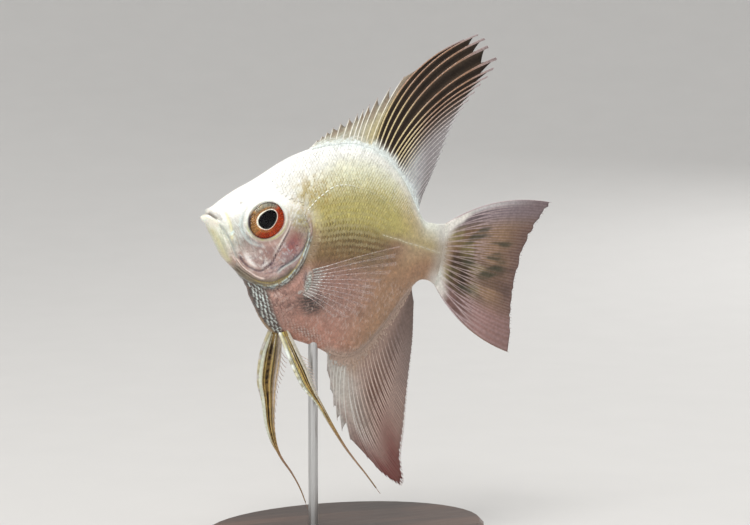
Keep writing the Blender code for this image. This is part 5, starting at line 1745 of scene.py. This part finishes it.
def build_anal():
    """The anal fin: pale spines in front, then soft rays that fork twice over brown-red streaks, darkest at the
    long tip."""
    look = bpy.context.scene.angelfish_fins
    fan = anal_fan()
    forks, gap, full = (0.22, 0.5), 0.56, 0.85

    def web_colour(i, v):
        """Brown, paler in front, with dark streaks between the branches and a wine-red long tip."""
        spiny = smooth(7.0, 5.0, i)
        mid = smooth(6.0, 8.5, i) * smooth(26, 15, i)
        lines = branch_lines(i, v, forks, gap, full)
        dark = (1 - lines) * smooth(0.22, 0.45, v) * mid * (0.45 + 0.55 * cloud(i, v * 9, 41))
        tip = smooth(0.62, 0.95, v) * smooth(15, 10, i) * smooth(4.5, 7.5, i)
        body = layers(
            plain((0.32, 0.215, 0.175), i.shape),
            ((0.46, 0.45, 0.42), spiny),
            ((0.24, 0.18, 0.15), smooth(11, 6, i) * smooth(0.48, 0.66, cloud(i * 1.6, v * 11, 42)) * 0.6),
            ((0.54, 0.50, 0.45), blob(i, v, (6.0, 0.36), (5.0, 0.32), 0, 3.0) * 0.75),
            ((0.16, 0.11, 0.095), smooth(13, 24, i) * smooth(0.15, 0.5, v)),
            ((0.52, 0.40, 0.36), lines * (0.55 - 0.35 * smooth(0.6, 1.0, v)) * smooth(30, 16, i)),
            ((0.075, 0.028, 0.018), dark * 0.85),
            ((0.11, 0.02, 0.02), tip * (0.9 - 0.5 * lines)),
            ((0.42, 0.29, 0.21), smooth(0.26, 0.04, v + 0.08 * cloud(i, v * 12, 43)) * 0.95),
        )
        thinner = 0.1 * smooth(0.6, 1.0, v) * (1 - tip)
        alpha = 0.84 + 0.12 * dark + 0.14 * tip - thinner + 0.15 * smooth(0.2, 0.0, v)
        return rgba(body, np.clip(alpha, 0, 0.97))

    def ray_colour(i, v):
        """Pale brown, greyer in front, darker to the rear and wine-red at the long tip."""
        return rgba(layers(
            plain((0.50, 0.38, 0.33), i.shape),
            ((0.60, 0.58, 0.55), smooth(11, 6, i)),
            ((0.22, 0.155, 0.14), smooth(15, 25, i) * 0.85),
            ((0.26, 0.075, 0.07), smooth(0.5, 0.9, v) * smooth(5, 8, i) * smooth(18, 12, i)),
            ((0.42, 0.30, 0.225), smooth(0.25, 0.05, v)),
        ), 1.0)

    def radius(i, v):
        """Tapers in proportion to the share along, and the rear rays are a third thinner."""
        return look.ray * (0.66 - 0.28 * v) * (1 - 0.35 * smooth(12, 28, i))

    def spine_radius(i, v):
        """Tapers in proportion to the share along."""
        return look.ray * (0.95 - 0.70 * v)

    def spine_colour(i, v):
        """Pale grey that turns brown at the tip."""
        return rgba(mix(plain((0.56, 0.54, 0.50), i.shape), (0.36, 0.28, 0.26), smooth(0.6, 1.0, v) * 0.6), 1.0)

    def notch(i, fraction):
        """A small fixed step back, and a saw edge that is deepest between the spines."""
        return 0.015 + saw(fraction, np.where(i < ANAL_SPINES, 0.2, 0.02))

    blocks = branched(fan, np.arange(ANAL_SPINES + 1, ANAL_COUNT + 1), radius, ray_colour, forks, gap, full)
    spines = fan.rods(np.arange(1, ANAL_SPINES + 1), 0, 1, spine_radius, still, spine_colour, 12, 8)
    web = fan.web(46, 8, notch, web_colour)
    add_fin("anal_fin", blocks, web, fin_ray_finish(), "fin_ray", "anal_fin", spines=spines)


def middle_rays(i):
    """1 at the tail's middle rays and 0 at its upper and lower edge."""
    return smooth(3.5, 6.5, i) * smooth(14, 11, i)


def build_tail():
    """The tail: fine rays that fork early, on webs that go from the white fleshy root through ochre with
    olive-black flecks to a lilac upper edge and a pink lower lobe."""
    look = bpy.context.scene.angelfish_fins
    fan = tail_fan()
    forks, gap, full = (0.04, 0.34), 0.62, 0.6

    def web_colour(i, v):
        """Flesh at the root by the distance from it, then ochre with dark streaks and flecks, lilac above and
        pink below."""
        low = smooth(6.5, 10, i)
        lines = branch_lines(i, v, forks, gap, full)
        lower, upper = smooth(13.0, 15.5, i), smooth(5.0, 2.4, i)
        climb = 5.0 * smooth(4.0, 1.0, i)
        flesh = smooth(3.7, 0.1,
                       fan.far(i, v) - climb - 1.4 * smooth(13, 16, i) + 0.9 * cloud(i * 1.7, v * 16, 54))
        near = smooth(0.08, 0.2, v) * smooth(0.62, 0.34, v) * (0.35 + 0.65 * low) * (1 - 0.4 * lower)
        flecks = smooth(0.52, 0.82, cloud(i * 1.1 + 3, v * 6 + 0.5 * i, 51)) * (1 - upper) * (1 - lower)
        flecks = flecks * smooth(0.22, 0.36, v) * smooth(0.95, 0.75, v)
        dark = (1 - lines) * near * (0.75 + 0.4 * cloud(i * 1.2, v * 12, 52))
        outer = smooth(0.62, 1.0, v + 0.1 * cloud(i * 0.8, v * 5, 56) - 0.05)
        shade = smooth(0.36, 0.76, cloud(i * 1.7, v * 4.2, 57)) * smooth(0.42, 0.6, v) * smooth(1.02, 0.9, v)
        body = layers(
            plain((0.25, 0.150, 0.08), i.shape),
            ((0.31, 0.275, 0.115), smooth(0.4, 0.7, cloud(i * 0.6, v * 6, 53)) * smooth(0.75, 0.4, v) * 0.6),
            ((0.21, 0.165, 0.18), upper),
            ((0.29, 0.165, 0.15), lower),
            ((0.12, 0.06, 0.05), outer * (1 - 0.6 * upper) * (1 - 0.5 * lower) * 0.85),
            ((0.50, 0.40, 0.41), lines * (0.85 - 0.65 * smooth(0.3, 0.8, v))),
            ((0.034, 0.021, 0.014), dark * 0.94),
            ((0.075, 0.045, 0.038), shade * low * (1 - lower) * 0.55),
            ((0.05, 0.052, 0.035), (0.35 + 0.65 * between_rays(i)) * flecks * 0.85),
            ((0.62, 0.60, 0.60), smooth(2.1, 1.2, i) * smooth(0.95, 0.35, v) * 0.8),
            (mix(plain(STALK_PALE, i.shape), STALK_DUSKY, middle_rays(i)), flesh),
        )
        alpha = 0.92 + 0.06 * np.maximum(dark, flecks) + 0.2 * flesh - 0.08 * smooth(0.5, 1.0, v)
        return rgba(body, np.clip(alpha, 0, 0.97))

    def ray_colour(i, v):
        """Pale at the root, ochre along the middle and brown at the edge of the middle lobe."""
        inner = smooth(1, 3, i)
        return rgba(layers(
            plain((0.50, 0.40, 0.41), i.shape),
            ((0.66, 0.61, 0.56), smooth(2.2, 0.8, fan.far(i, v))),
            ((0.235, 0.145, 0.09), smooth(0.3, 0.62, v) * inner),
            ((0.14, 0.072, 0.06), smooth(0.66, 0.95, v) * inner * smooth(17, 15, i)),
        ), 1.0)

    def radius(i, v):
        """Tapers in proportion to the share along, and the two outer rays are half as thick again."""
        edge = np.clip(np.abs(i - 9) / 8, 0, 1) ** 6
        return look.ray * (0.46 - 0.34 * v) * (1 + 0.5 * edge)

    def notch(i, fraction):
        """A free edge drawn in by a small random amount."""
        return 0.006 + 0.022 * cloud(i * 2.6, 0 * i, 55)

    blocks = branched(fan, np.arange(2, TAIL_COUNT), radius, ray_colour, forks, gap, full)
    blocks.append(fan.rods([1.0, TAIL_COUNT], 0, 1, radius, still, ray_colour, 16))
    add_fin("tail_fin", blocks, fan.web(70, 12, notch, web_colour), fin_ray_finish(), "fin_ray", "tail_fin")


def build_fin_scales():
    """Small scales that climb from the body on to the bases of the dorsal, anal and tail fins: brick-set rows
    at growing heights, each row smaller, sparser and closer to the web's own colour."""
    chance = np.random.default_rng(23)
    blocks = []
    # Fan, step along the base, rows, scale size, first row's distance, colours near the body and far from it.
    fields = (
        (dorsal_fan(), 0.34, 5, 0.34, 0.2, (0.82, 0.87, 0.84), (0.60, 0.62, 0.56)),
        (anal_fan(), 0.36, 14, 0.42, 0.3, (0.47, 0.33, 0.26), (0.42, 0.32, 0.26)),
        (tail_fan(), 0.36, 6, 0.34, -0.1, (0.71, 0.69, 0.62), (0.62, 0.58, 0.52)),
    )
    for fan, step, rows, size, start, near_colour, far_colour in fields:
        number, row = np.meshgrid(np.arange(1.2, fan.count - 0.1, step), np.arange(rows), indexing="ij")
        i = np.minimum(number + 0.5 * step * (row % 2), fan.count - 0.05).ravel()
        row = row.ravel()
        far = np.maximum(start + 0.25 * row + chance.uniform(-0.04, 0.04, len(i)), 0.01)
        v = far / fan.by_ray(i, fan.lengths)
        keep = (v < 0.25) & (chance.uniform(0, 1, len(i)) > 0.97 * smooth(0.05, 0.9, row / rows))
        i, v, row = i[keep], v[keep], row[keep]
        lie = unit(fan.at(i, v + 0.01) - fan.at(i, v))
        aside = unit(fan.at(np.minimum(i + 0.05, fan.count), v) - fan.at(i - 0.05, v))
        slope = (fan.thick(i, v + 0.01) - fan.thick(i, v)) / 2 / (0.01 * fan.by_ray(i, fan.lengths))
        slope, shrink = slope[:, None], 1 - 0.55 * row / rows
        for side in (LEFT, RIGHT):
            normal = unit(np.cross(lie, aside))
            normal = normal * np.sign(normal[:, 1:2]) * side
            root = fan.at(i, v) + normal * (fan.thick(i, v) / 2 + 0.01)[:, None]
            down, out = unit(lie + normal * slope), unit(normal - lie * slope)
            points, t, w = scale_solids(root, down, out, size * 1.5 * shrink, size * shrink, 0.022 * shrink)
            shade = 1 + chance.normal(-0.04 if fan.count == TAIL_COUNT else 0, 0.07, (len(i), 1, 1))
            zero = np.zeros(points.shape[:2])
            outwards = smooth(0.3, 1.0, row / rows)[:, None] + zero
            base = mix(plain(near_colour, zero.shape), far_colour, outwards) * shade
            if fan.count == TAIL_COUNT:
                base = mix(base, STALK_DUSKY, middle_rays(i)[:, None] + zero)
            base = mix(base, base * 0.8, smooth(0.5, 1.0, np.abs(w))[None] * 0.5 + zero)
            unwrap = np.stack([root[:, 0] / 80 + 0.05, 0.5 + side * 0.25 + root[:, 2] / 240], axis=1)
            blocks.append((points.reshape(-1, 3), scale_faces(len(root)), rgba(base, 0.0).reshape(-1, 4),
                           scale_uvs(unwrap, t, w)))
    points, faces, tint, bake = join(blocks)
    make_piece("fin_base_scales", points, faces, scale_finish(), colours=tint,
               maps={"OFBake": bake})


def build_pectoral(side):
    """A clear fin: hair-thin rays that fork twice on a web of almost no colour. Its distance from the flank
    flares out by an exponential and falls in again by the square of the share along."""
    numbers = np.arange(1, PECTORAL_COUNT + 1)
    root_s, root_h, tip_s, tip_h = (keyed(PECTORAL_RAYS, k)(numbers) for k in range(1, 5))

    def across(i, v):
        """Distance from the middle plane: out by one minus an exponential, and in by the square of the
        share."""
        return side * (PECTORAL_ROOT_Y + PECTORAL_FLARE * (1 - np.exp(-v / 0.12)) - PECTORAL_TIP_IN * v**2)

    roots, tips = np.stack([root_s, root_h], axis=1), np.stack([tip_s, tip_h], axis=1)
    fan = Fan(roots, tips, np.full(PECTORAL_COUNT, 0.02), across, thin=0.05, swell=0.3, fade=0.8)

    def web_colour(i, v):
        """Almost no colour, with a dusky tint between the rays at the root."""
        base = mix(plain((0.70, 0.62, 0.60), i.shape), (0.20, 0.17, 0.15),
                   smooth(0.22, 0.04, v) * between_rays(i))
        return rgba(base, 0.012 + 0.5 * smooth(0.16, 0.02, v) + 0.012 * between_rays(i))

    def ray_colour(i, v):
        """Pinkish, grey at the root, clearer outwards, with some white tips."""
        base = layers(
            plain((0.60, 0.47, 0.46), i.shape),
            ((0.40, 0.42, 0.39), smooth(0.20, 0.08, v)),
            ((0.95, 0.95, 0.93), smooth(0.93, 0.99, v) * smooth(0.45, 0.6, cloud(i * 2.3, 0 * i, 61))),
        )
        return rgba(base, 0.72 - 0.40 * smooth(0.10, 0.5, v) + 0.3 * smooth(0.9, 1.0, v))

    def radius(i, v):
        """Tapers in proportion to the share along, thicker at the root and on the first ray."""
        return (0.045 + 0.045 * smooth(0.2, 0.0, v)) * (1.1 - 0.45 * v) * (1 + 0.3 * smooth(3, 1, i))

    def notch(i, fraction):
        """A fixed step back, and a round bay between two rays: a parabola of the place between them."""
        return 0.02 + 0.11 * 4 * fraction * (1 - fraction)

    blocks = [fan.rods([1.0], 0, 1, radius, still, ray_colour, 16)]
    blocks += branched(fan, numbers[1:], radius, ray_colour, (0.25, 0.7), 0.26)
    name = "pectoral_fin_left" if side == LEFT else "pectoral_fin_right"
    web = fan.web(34, 8, notch, web_colour)
    add_fin(name, blocks, web, finish("clear_rays", clear_ray_material), "clear_fin", name)


def pelvic_ribbon(side):
    """The function that gives places on a pelvic fin by position across it, -1 to 1 from its leading edge,
    which lies towards the snout, and share along it. Cosine pleats move it in and out."""
    path = smooth_path(PELVIC_PATH[side], 90)
    ahead = unit(np.gradient(path[:, :2], axis=0))
    aside = np.stack([-ahead[:, 1], ahead[:, 0]], axis=1)
    rows = len(path)

    def at(w, v):
        """The nearest two stations of the path are blended, and the pleat is a cosine of the position
        across."""
        w, k = np.asarray(w), np.clip(np.asarray(v, float) * (rows - 1), 0, rows - 1.001)
        low = k.astype(int)
        part = (k - low)[..., None]
        mid = path[low] * (1 - part) + path[low + 1] * part
        off = aside[low] * (1 - part) + aside[low + 1] * part
        flat = mid[..., :2] + off * (w * mid[..., 3])[..., None]
        pleat = 0.16 * mid[..., 3] * np.cos(2.5 * math.pi * (w + 1))
        return np.stack([flat[..., 0], side * (mid[..., 2] + pleat), flat[..., 1]], axis=-1)

    return at


def pelvic_web(side, at):
    """The ribbon's sheet: a pale leading strip, golden lanes with dark streaks between them, and a brown
    thread."""
    look = bpy.context.scene.angelfish_fins
    near = 1.0 if side == LEFT else 0.0
    w = np.linspace(-0.92, 0.95, 46)[None]
    v = np.linspace(0, 0.97, 110)[:, None]
    points = at(w + 0 * v, v + 0 * w)
    beads = 0.5 + 0.5 * np.sin(210 * v + 3 * cloud(v * 30, 0 * v, 71))
    fade = smooth(0.62, 0.5, v)
    patchy = smooth(0.3, 0.5, cloud(v * 80 + w * 2, w * 3, 72))
    ends = smooth(0.03, 0.08, v), smooth(0.95, 0.7, v)
    streak_places = ((-0.02, 0.12, 1.0), (0.36, 0.10, 0.9), (-0.46, 0.06, 0.85), (0.66, 0.06, 0.5))
    streaked = [
        (look.streak, bell(w, centre, width, 4) * ends[0] * ends[1] * strength * (0.55 + 0.45 * patchy))
        for centre, width, strength in streak_places
    ]
    colour = layers(
        plain(look.gold, points.shape[:2]),
        ((0.60, 0.62, 0.50), smooth(-0.40 + 0.12 * near, -0.62 + 0.12 * near, w) * fade),
        ((0.58, 0.50, 0.14), bell(w, -0.28, 0.10) * beads * fade),
        ((0.50, 0.40, 0.16), bell(w, 0.20, 0.08) * fade * 0.8),
        ((0.62, 0.54 + 0.05 * near, 0.47 + 0.05 * near),
         smooth(0.5 - 0.12 * near, 0.75 - 0.12 * near, w) * smooth(0.6, 0.3, v) * 0.9),
        *streaked,
        ((0.30, 0.19, 0.12), smooth(0.55, 0.75, v) * 0.7 * smooth(0.10, 0.30, np.abs(w))),
        ((0.03, 0.015, 0.01), smooth(0.5, 0.65, v) * bell(w, 0, 0.25, 4) * smooth(0.97, 0.75, v) * 0.85),
        ((0.60, 0.50, 0.40), smooth(0.5, 0.65, v) * smooth(0.72, 0.9, np.abs(w)) * 0.7),
    )
    tint = rgba(colour, 0.95 - 0.3 * smooth(0.8, 0.95, w) * fade)
    return sheet_solid(points, np.full(points.shape[:2], look.web), tint)


def pelvic_rod(at, lane, start, stop, radius, colour, steps=40, sides=8):
    """A tapering rod on the ribbon from one share of its length to another. Its lane across, radius and colour
    are functions of the share."""
    share = np.linspace(start, stop, steps)
    place = at(lane(share)[None], share[None])
    rods, faces = tubes(place, radius(share)[None], sides)
    lengths = run_lengths(place)
    uv = np.stack([lengths, 0 * lengths], axis=-1)
    return rods, faces, per_tube(rgba(colour(share)[None], 1.0), sides), per_tube(uv, sides)


def build_pelvic(side):
    """A strong white spine on the leading edge, five soft rays behind it with streaked webs, a fringe of free
    ends, and a long thread."""
    look = bpy.context.scene.angelfish_fins
    at = pelvic_ribbon(side)
    near = 1.0 if side == LEFT else 0.0
    bone, specks, thick, end = PELVIC_SPINE[side]

    def spine_colour(share):
        """Bone with olive rough patches and dark specks, both cut from random values."""
        rough = smooth(0.5, 0.62, cloud(share * 45, 0 * share, 73)) * 0.7
        dark = smooth(0.60, 0.72, cloud(share * 70, 0 * share, 74)) * smooth(0.02, 0.08, share) * specks
        return layers(plain(bone, share.shape), ((0.56, 0.50, 0.26), rough), ((0.05, 0.035, 0.02), dark))

    def ray_colour(share):
        """Light gold from a white root to a brown end, with dark patches cut from random values."""
        return layers(
            plain(np.array(look.gold) * (1.7, 1.6, 1.4), share.shape),
            ((0.72, 0.70, 0.60), smooth(0.2, 0.0, share)),
            ((0.10, 0.06, 0.02), smooth(0.52, 0.64, cloud(share * 60, 0 * share + 3 * near, 75)) * 0.6),
            ((0.40, 0.25, 0.17), smooth(0.5, 0.8, share)),
        )

    def outer_colour(share):
        """The rays' colour, whiter over the near half of the left fin."""
        return mix(ray_colour(share), (0.66, 0.66, 0.57), smooth(0.62, 0.45, share) * 0.85 * near)

    def fringe_colour(share):
        """One pale brown."""
        return plain((0.60, 0.48, 0.42), share.shape)

    spine = pelvic_rod(at, lambda x: -0.86 + 0 * x, 0.0, end, lambda x: thick * (1 - 0.62 * (x / end) ** 1.5),
                       spine_colour, sides=12)
    blocks = []
    for number, lane in enumerate(PELVIC_LANES):
        stop = 1.0 if number == 1 else 0.97 - 0.04 * number
        colour = outer_colour if number in (0, 3, 4) else ray_colour
        blocks.append(pelvic_rod(
            at, lambda x, lane=lane: lane + 0 * x, 0.02, stop,
            lambda x: 0.10 * (1 - 0.5 * x), colour, steps=70))
    for begin in np.linspace(0.10, 0.52, 17):
        length = 0.05 * (1 - begin)

        def stray(x, begin=begin, length=length):
            """A fringe ray's lane: it leaves the rear edge in proportion to the way along it, most near the
            root."""
            return 0.86 + 0.75 * ((x - begin) / length) * smooth(0.6, 0.1, begin)

        blocks.append(pelvic_rod(
            at, stray, begin, begin + length, lambda x: 0.06 + 0 * x, fringe_colour, steps=6, sides=5))
    name = "pelvic_fin_left" if side == LEFT else "pelvic_fin_right"
    add_fin(name, blocks, pelvic_web(side, at),
            finish("pelvic_rays", ray_material, (0.16, 0.09, 0.03), 1.2, 0.4), "pelvic_ray", name, spines=spine)


# ---------------------------------------------------------------- stand and stage


def wood_material(colour):
    """Dark satin wood: long growth rings from stretched noise, with fine pores along the grain."""
    made, tree, shader = start_material("dark_wood", Coat_Weight=0.35, Coat_Roughness=0.25)
    place = object_place(tree)
    rings = stretched_noise(tree, place, (14.0, 190.0, 190.0), Scale=1.0, Detail=5.0, Distortion=0.8)
    pores = stretched_noise(tree, place, (160.0, 2600.0, 2600.0), Scale=1.0, Detail=3.0)
    ramp = node(tree, "ValToRGB", {"Fac": rings})
    dark, pale = ramp.color_ramp.elements
    dark.position, pale.position = 0.35, 0.68
    dark.color = (colour[0] * 0.45, colour[1] * 0.45, colour[2] * 0.45, 1)
    pale.color = (min(1, colour[0] * 2.2), colour[1] * 1.9, colour[2] * 1.7, 1)
    feed(tree, shader, {"Base Color": ramp.outputs["Color"]})
    fine_finish(tree, shader, pores, 0.32, 0.6, strength=0.3, height=0.00006)
    return made


def steel_material(colour):
    """Rod drawn through a die: fine lines along its length, kept in tone, roughness and bump."""
    made, tree, shader = start_material("brushed_rod", Metallic=1.0)
    lines = stretched_noise(tree, object_place(tree), (9000.0, 9000.0, 120.0), Scale=1.0, Detail=3.0)
    feed(tree, shader, {"Base Color": scaled_colour(tree, tuple(colour), ranged(tree, lines, 0.82, 1.1))})
    fine_finish(tree, shader, lines, 0.2, 0.42, strength=0.15, height=0.00002)
    return made


def softbox(name, place, target, size, power, colour=(1, 1, 1)):
    """An area light that faces a target and isn't seen itself."""
    light = bpy.data.lights.new(name, "AREA")
    light.shape, light.size, light.size_y = "RECTANGLE", size[0], size[1]
    light.energy, light.color = power, colour
    made = bpy.data.objects.new(name, light)
    bpy.context.scene.collection.objects.link(made)
    made.location = place
    made.rotation_euler = (Vector(target) - Vector(place)).to_track_quat("-Z", "Y").to_euler()
    made.visible_camera = False


def build_floor(colour):
    """A pale bowl: level under the stand, then rising with the cube of the distance, all round the fish."""
    rings, around = 60, 96
    radius = 0.002 + 1.5 * np.linspace(0.0, 1.0, rings)[:, None]
    turn = 2 * math.pi * np.arange(around)[None] / around
    height = 1.1 * (np.clip(radius - 0.16, 0, None) / 1.3) ** 3 - 0.00002
    points = np.stack(np.broadcast_arrays(radius * np.cos(turn), radius * np.sin(turn), height), axis=-1)
    faces = grid_faces(rings, around, wrap=True).tolist() + [list(range(around))]
    mesh = bpy.data.meshes.new("floor")
    mesh.from_pydata(points.reshape(-1, 3).tolist(), [], faces)
    mesh.shade_smooth()
    made = bpy.data.objects.new("floor", mesh)
    bpy.context.scene.collection.objects.link(made)
    material, tree, shader = start_material("pale_floor", Roughness=0.75)
    cloudy = node(tree, "TexNoise", {"Vector": object_place(tree), "Scale": 60.0, "Detail": 4.0}).outputs["Fac"]
    feed(tree, shader, {"Base Color": scaled_colour(tree, tuple(colour), ranged(tree, cloudy, 0.975, 1.025))})
    made.data.materials.append(material)


# ---------------------------------------------------------------- operators


class ANGELFISH_OT_skin(bpy.types.Operator):
    """Build the one skin that covers the head, jaw, gill covers, trunk and tail stalk"""

    bl_idname = "angelfish.skin"
    bl_label = "Skin"

    def execute(self, context):
        build_skin()
        return {"FINISHED"}


class ANGELFISH_OT_scales(bpy.types.Operator):
    """Lay the solid scales over both sides of the skin, and the canal scales of the lateral line"""

    bl_idname = "angelfish.scales"
    bl_label = "Scales"

    def execute(self, context):
        build_coat(LEFT)
        build_coat(RIGHT)
        build_lateral_line()
        build_fin_scales()
        return {"FINISHED"}


class ANGELFISH_OT_eyes(bpy.types.Operator):
    """Set both eyeballs and their corneas into the head"""

    bl_idname = "angelfish.eyes"
    bl_label = "Eyes"

    def execute(self, context):
        build_eye(LEFT)
        build_eye(RIGHT)
        return {"FINISHED"}


class ANGELFISH_OT_dorsal_fin(bpy.types.Operator):
    """Build the dorsal fin's spines, branched rays and webs"""

    bl_idname = "angelfish.dorsal_fin"
    bl_label = "Dorsal fin"

    def execute(self, context):
        build_dorsal()
        return {"FINISHED"}


class ANGELFISH_OT_anal_fin(bpy.types.Operator):
    """Build the anal fin's spines, branched rays and webs"""

    bl_idname = "angelfish.anal_fin"
    bl_label = "Anal fin"

    def execute(self, context):
        build_anal()
        return {"FINISHED"}


class ANGELFISH_OT_tail_fin(bpy.types.Operator):
    """Build the tail fin's branched rays and webs"""

    bl_idname = "angelfish.tail_fin"
    bl_label = "Tail fin"

    def execute(self, context):
        build_tail()
        return {"FINISHED"}


class ANGELFISH_OT_pectoral_fins(bpy.types.Operator):
    """Build the two clear pectoral fins"""

    bl_idname = "angelfish.pectoral_fins"
    bl_label = "Pectoral fins"

    def execute(self, context):
        build_pectoral(LEFT)
        build_pectoral(RIGHT)
        return {"FINISHED"}


class ANGELFISH_OT_pelvic_fins(bpy.types.Operator):
    """Build the two long pelvic fins with their white spines and threads"""

    bl_idname = "angelfish.pelvic_fins"
    bl_label = "Pelvic fins"

    def execute(self, context):
        build_pelvic(LEFT)
        build_pelvic(RIGHT)
        return {"FINISHED"}


class ANGELFISH_OT_stand(bpy.types.Operator):
    """Give the base its dark wood and the rod its brushed steel"""

    bl_idname = "angelfish.stand"
    bl_label = "Stand"

    def execute(self, context):
        look = context.scene.angelfish_stand
        for name, material in (("stand_base", wood_material(look.wood)),
                               ("stand_rod", steel_material(look.steel))):
            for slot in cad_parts[name].material_slots:
                slot.material = material
        return {"FINISHED"}


class ANGELFISH_OT_stage(bpy.types.Operator):
    """Set up the pale floor, the soft lights and the camera"""

    bl_idname = "angelfish.stage"
    bl_label = "Stage"

    def execute(self, context):
        look = context.scene.angelfish_stage
        build_floor(look.floor)
        target = Vector((SNOUT_X + 34.34, 0.0, SNOUT_Z - 9.89)) * MM
        turn, rise = look.azimuth, look.elevation
        away = Vector((math.sin(turn) * math.cos(rise), -math.cos(turn) * math.cos(rise), math.sin(rise)))
        lens = bpy.data.cameras.new("camera")
        lens.lens, lens.sensor_width, lens.clip_start = look.lens, 36.0, 0.01
        camera = bpy.data.objects.new("camera", lens)
        context.scene.collection.objects.link(camera)
        camera.location = target + away * look.distance
        camera.rotation_euler = (-away).to_track_quat("-Z", "Y").to_euler()
        context.scene.camera = camera
        softbox("key_softbox", (-0.31, -0.27, 0.92), target, (0.58, 0.58), look.key, (1.0, 0.985, 0.96))
        softbox("fill_softbox", (-0.30, -0.50, 0.16), target, (0.40, 0.30), look.fill, (0.98, 0.99, 1.0))
        softbox("rim_strip", (0.32, 0.30, 0.30), target, (0.12, 0.40), look.rim)
        world = bpy.data.worlds.new("studio")
        context.scene.world = world
        world.use_nodes = True
        background = world.node_tree.nodes["Background"]
        background.inputs["Color"].default_value = (0.92, 0.94, 0.97, 1)
        background.inputs["Strength"].default_value = 0.42
        context.scene.view_settings.view_transform = "Standard"
        return {"FINISHED"}


class ANGELFISH_PT_sidebar(bpy.types.Panel):
    """Lists every piece's operator, with the settings that it reads"""

    bl_idname = "ANGELFISH_PT_sidebar"
    bl_label = "Angelfish"
    bl_space_type = "VIEW_3D"
    bl_region_type = "UI"
    bl_category = "Angelfish"

    def draw(self, context):
        scene = context.scene
        for title, operators, group in PANEL_ROWS:
            box = self.layout.box()
            box.label(text=title)
            settings = getattr(scene, group)
            for name in settings.__annotations__:
                box.prop(settings, name)
            for operator in operators:
                box.operator(operator)


PANEL_ROWS = (
    ("Body", ("angelfish.skin", "angelfish.scales"), "angelfish_skin"),
    ("Eyes", ("angelfish.eyes",), "angelfish_eyes"),
    ("Fins", ("angelfish.dorsal_fin", "angelfish.anal_fin", "angelfish.tail_fin", "angelfish.pectoral_fins",
              "angelfish.pelvic_fins"), "angelfish_fins"),
    ("Stand", ("angelfish.stand",), "angelfish_stand"),
    ("Stage", ("angelfish.stage",), "angelfish_stage"),
)
GROUPS = (
    ("angelfish_skin", AngelfishSkin), ("angelfish_eyes", AngelfishEyes), ("angelfish_fins", AngelfishFins),
    ("angelfish_stand", AngelfishStand), ("angelfish_stage", AngelfishStage),
)
OPERATORS = (
    ANGELFISH_OT_skin, ANGELFISH_OT_scales, ANGELFISH_OT_eyes, ANGELFISH_OT_dorsal_fin, ANGELFISH_OT_anal_fin,
    ANGELFISH_OT_tail_fin, ANGELFISH_OT_pectoral_fins, ANGELFISH_OT_pelvic_fins, ANGELFISH_OT_stand,
    ANGELFISH_OT_stage,
)


def register():
    """Registers the property groups, hangs them on the scene, then the operators and the panel."""
    for name, group in GROUPS:
        bpy.utils.register_class(group)
        setattr(bpy.types.Scene, name, PointerProperty(type=group))
    for operator in OPERATORS:
        bpy.utils.register_class(operator)
    bpy.utils.register_class(ANGELFISH_PT_sidebar)


def unregister():
    """Takes everything away again, in the opposite order."""
    bpy.utils.unregister_class(ANGELFISH_PT_sidebar)
    for operator in reversed(OPERATORS):
        bpy.utils.unregister_class(operator)
    for name, group in reversed(GROUPS):
        delattr(bpy.types.Scene, name)
        bpy.utils.unregister_class(group)


def main():
    """Registers the add-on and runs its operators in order."""
    register()
    for operator in OPERATORS:
        family, name = operator.bl_idname.split(".")
        getattr(getattr(bpy.ops, family), name)()


if __name__ == "__main__":
    main()
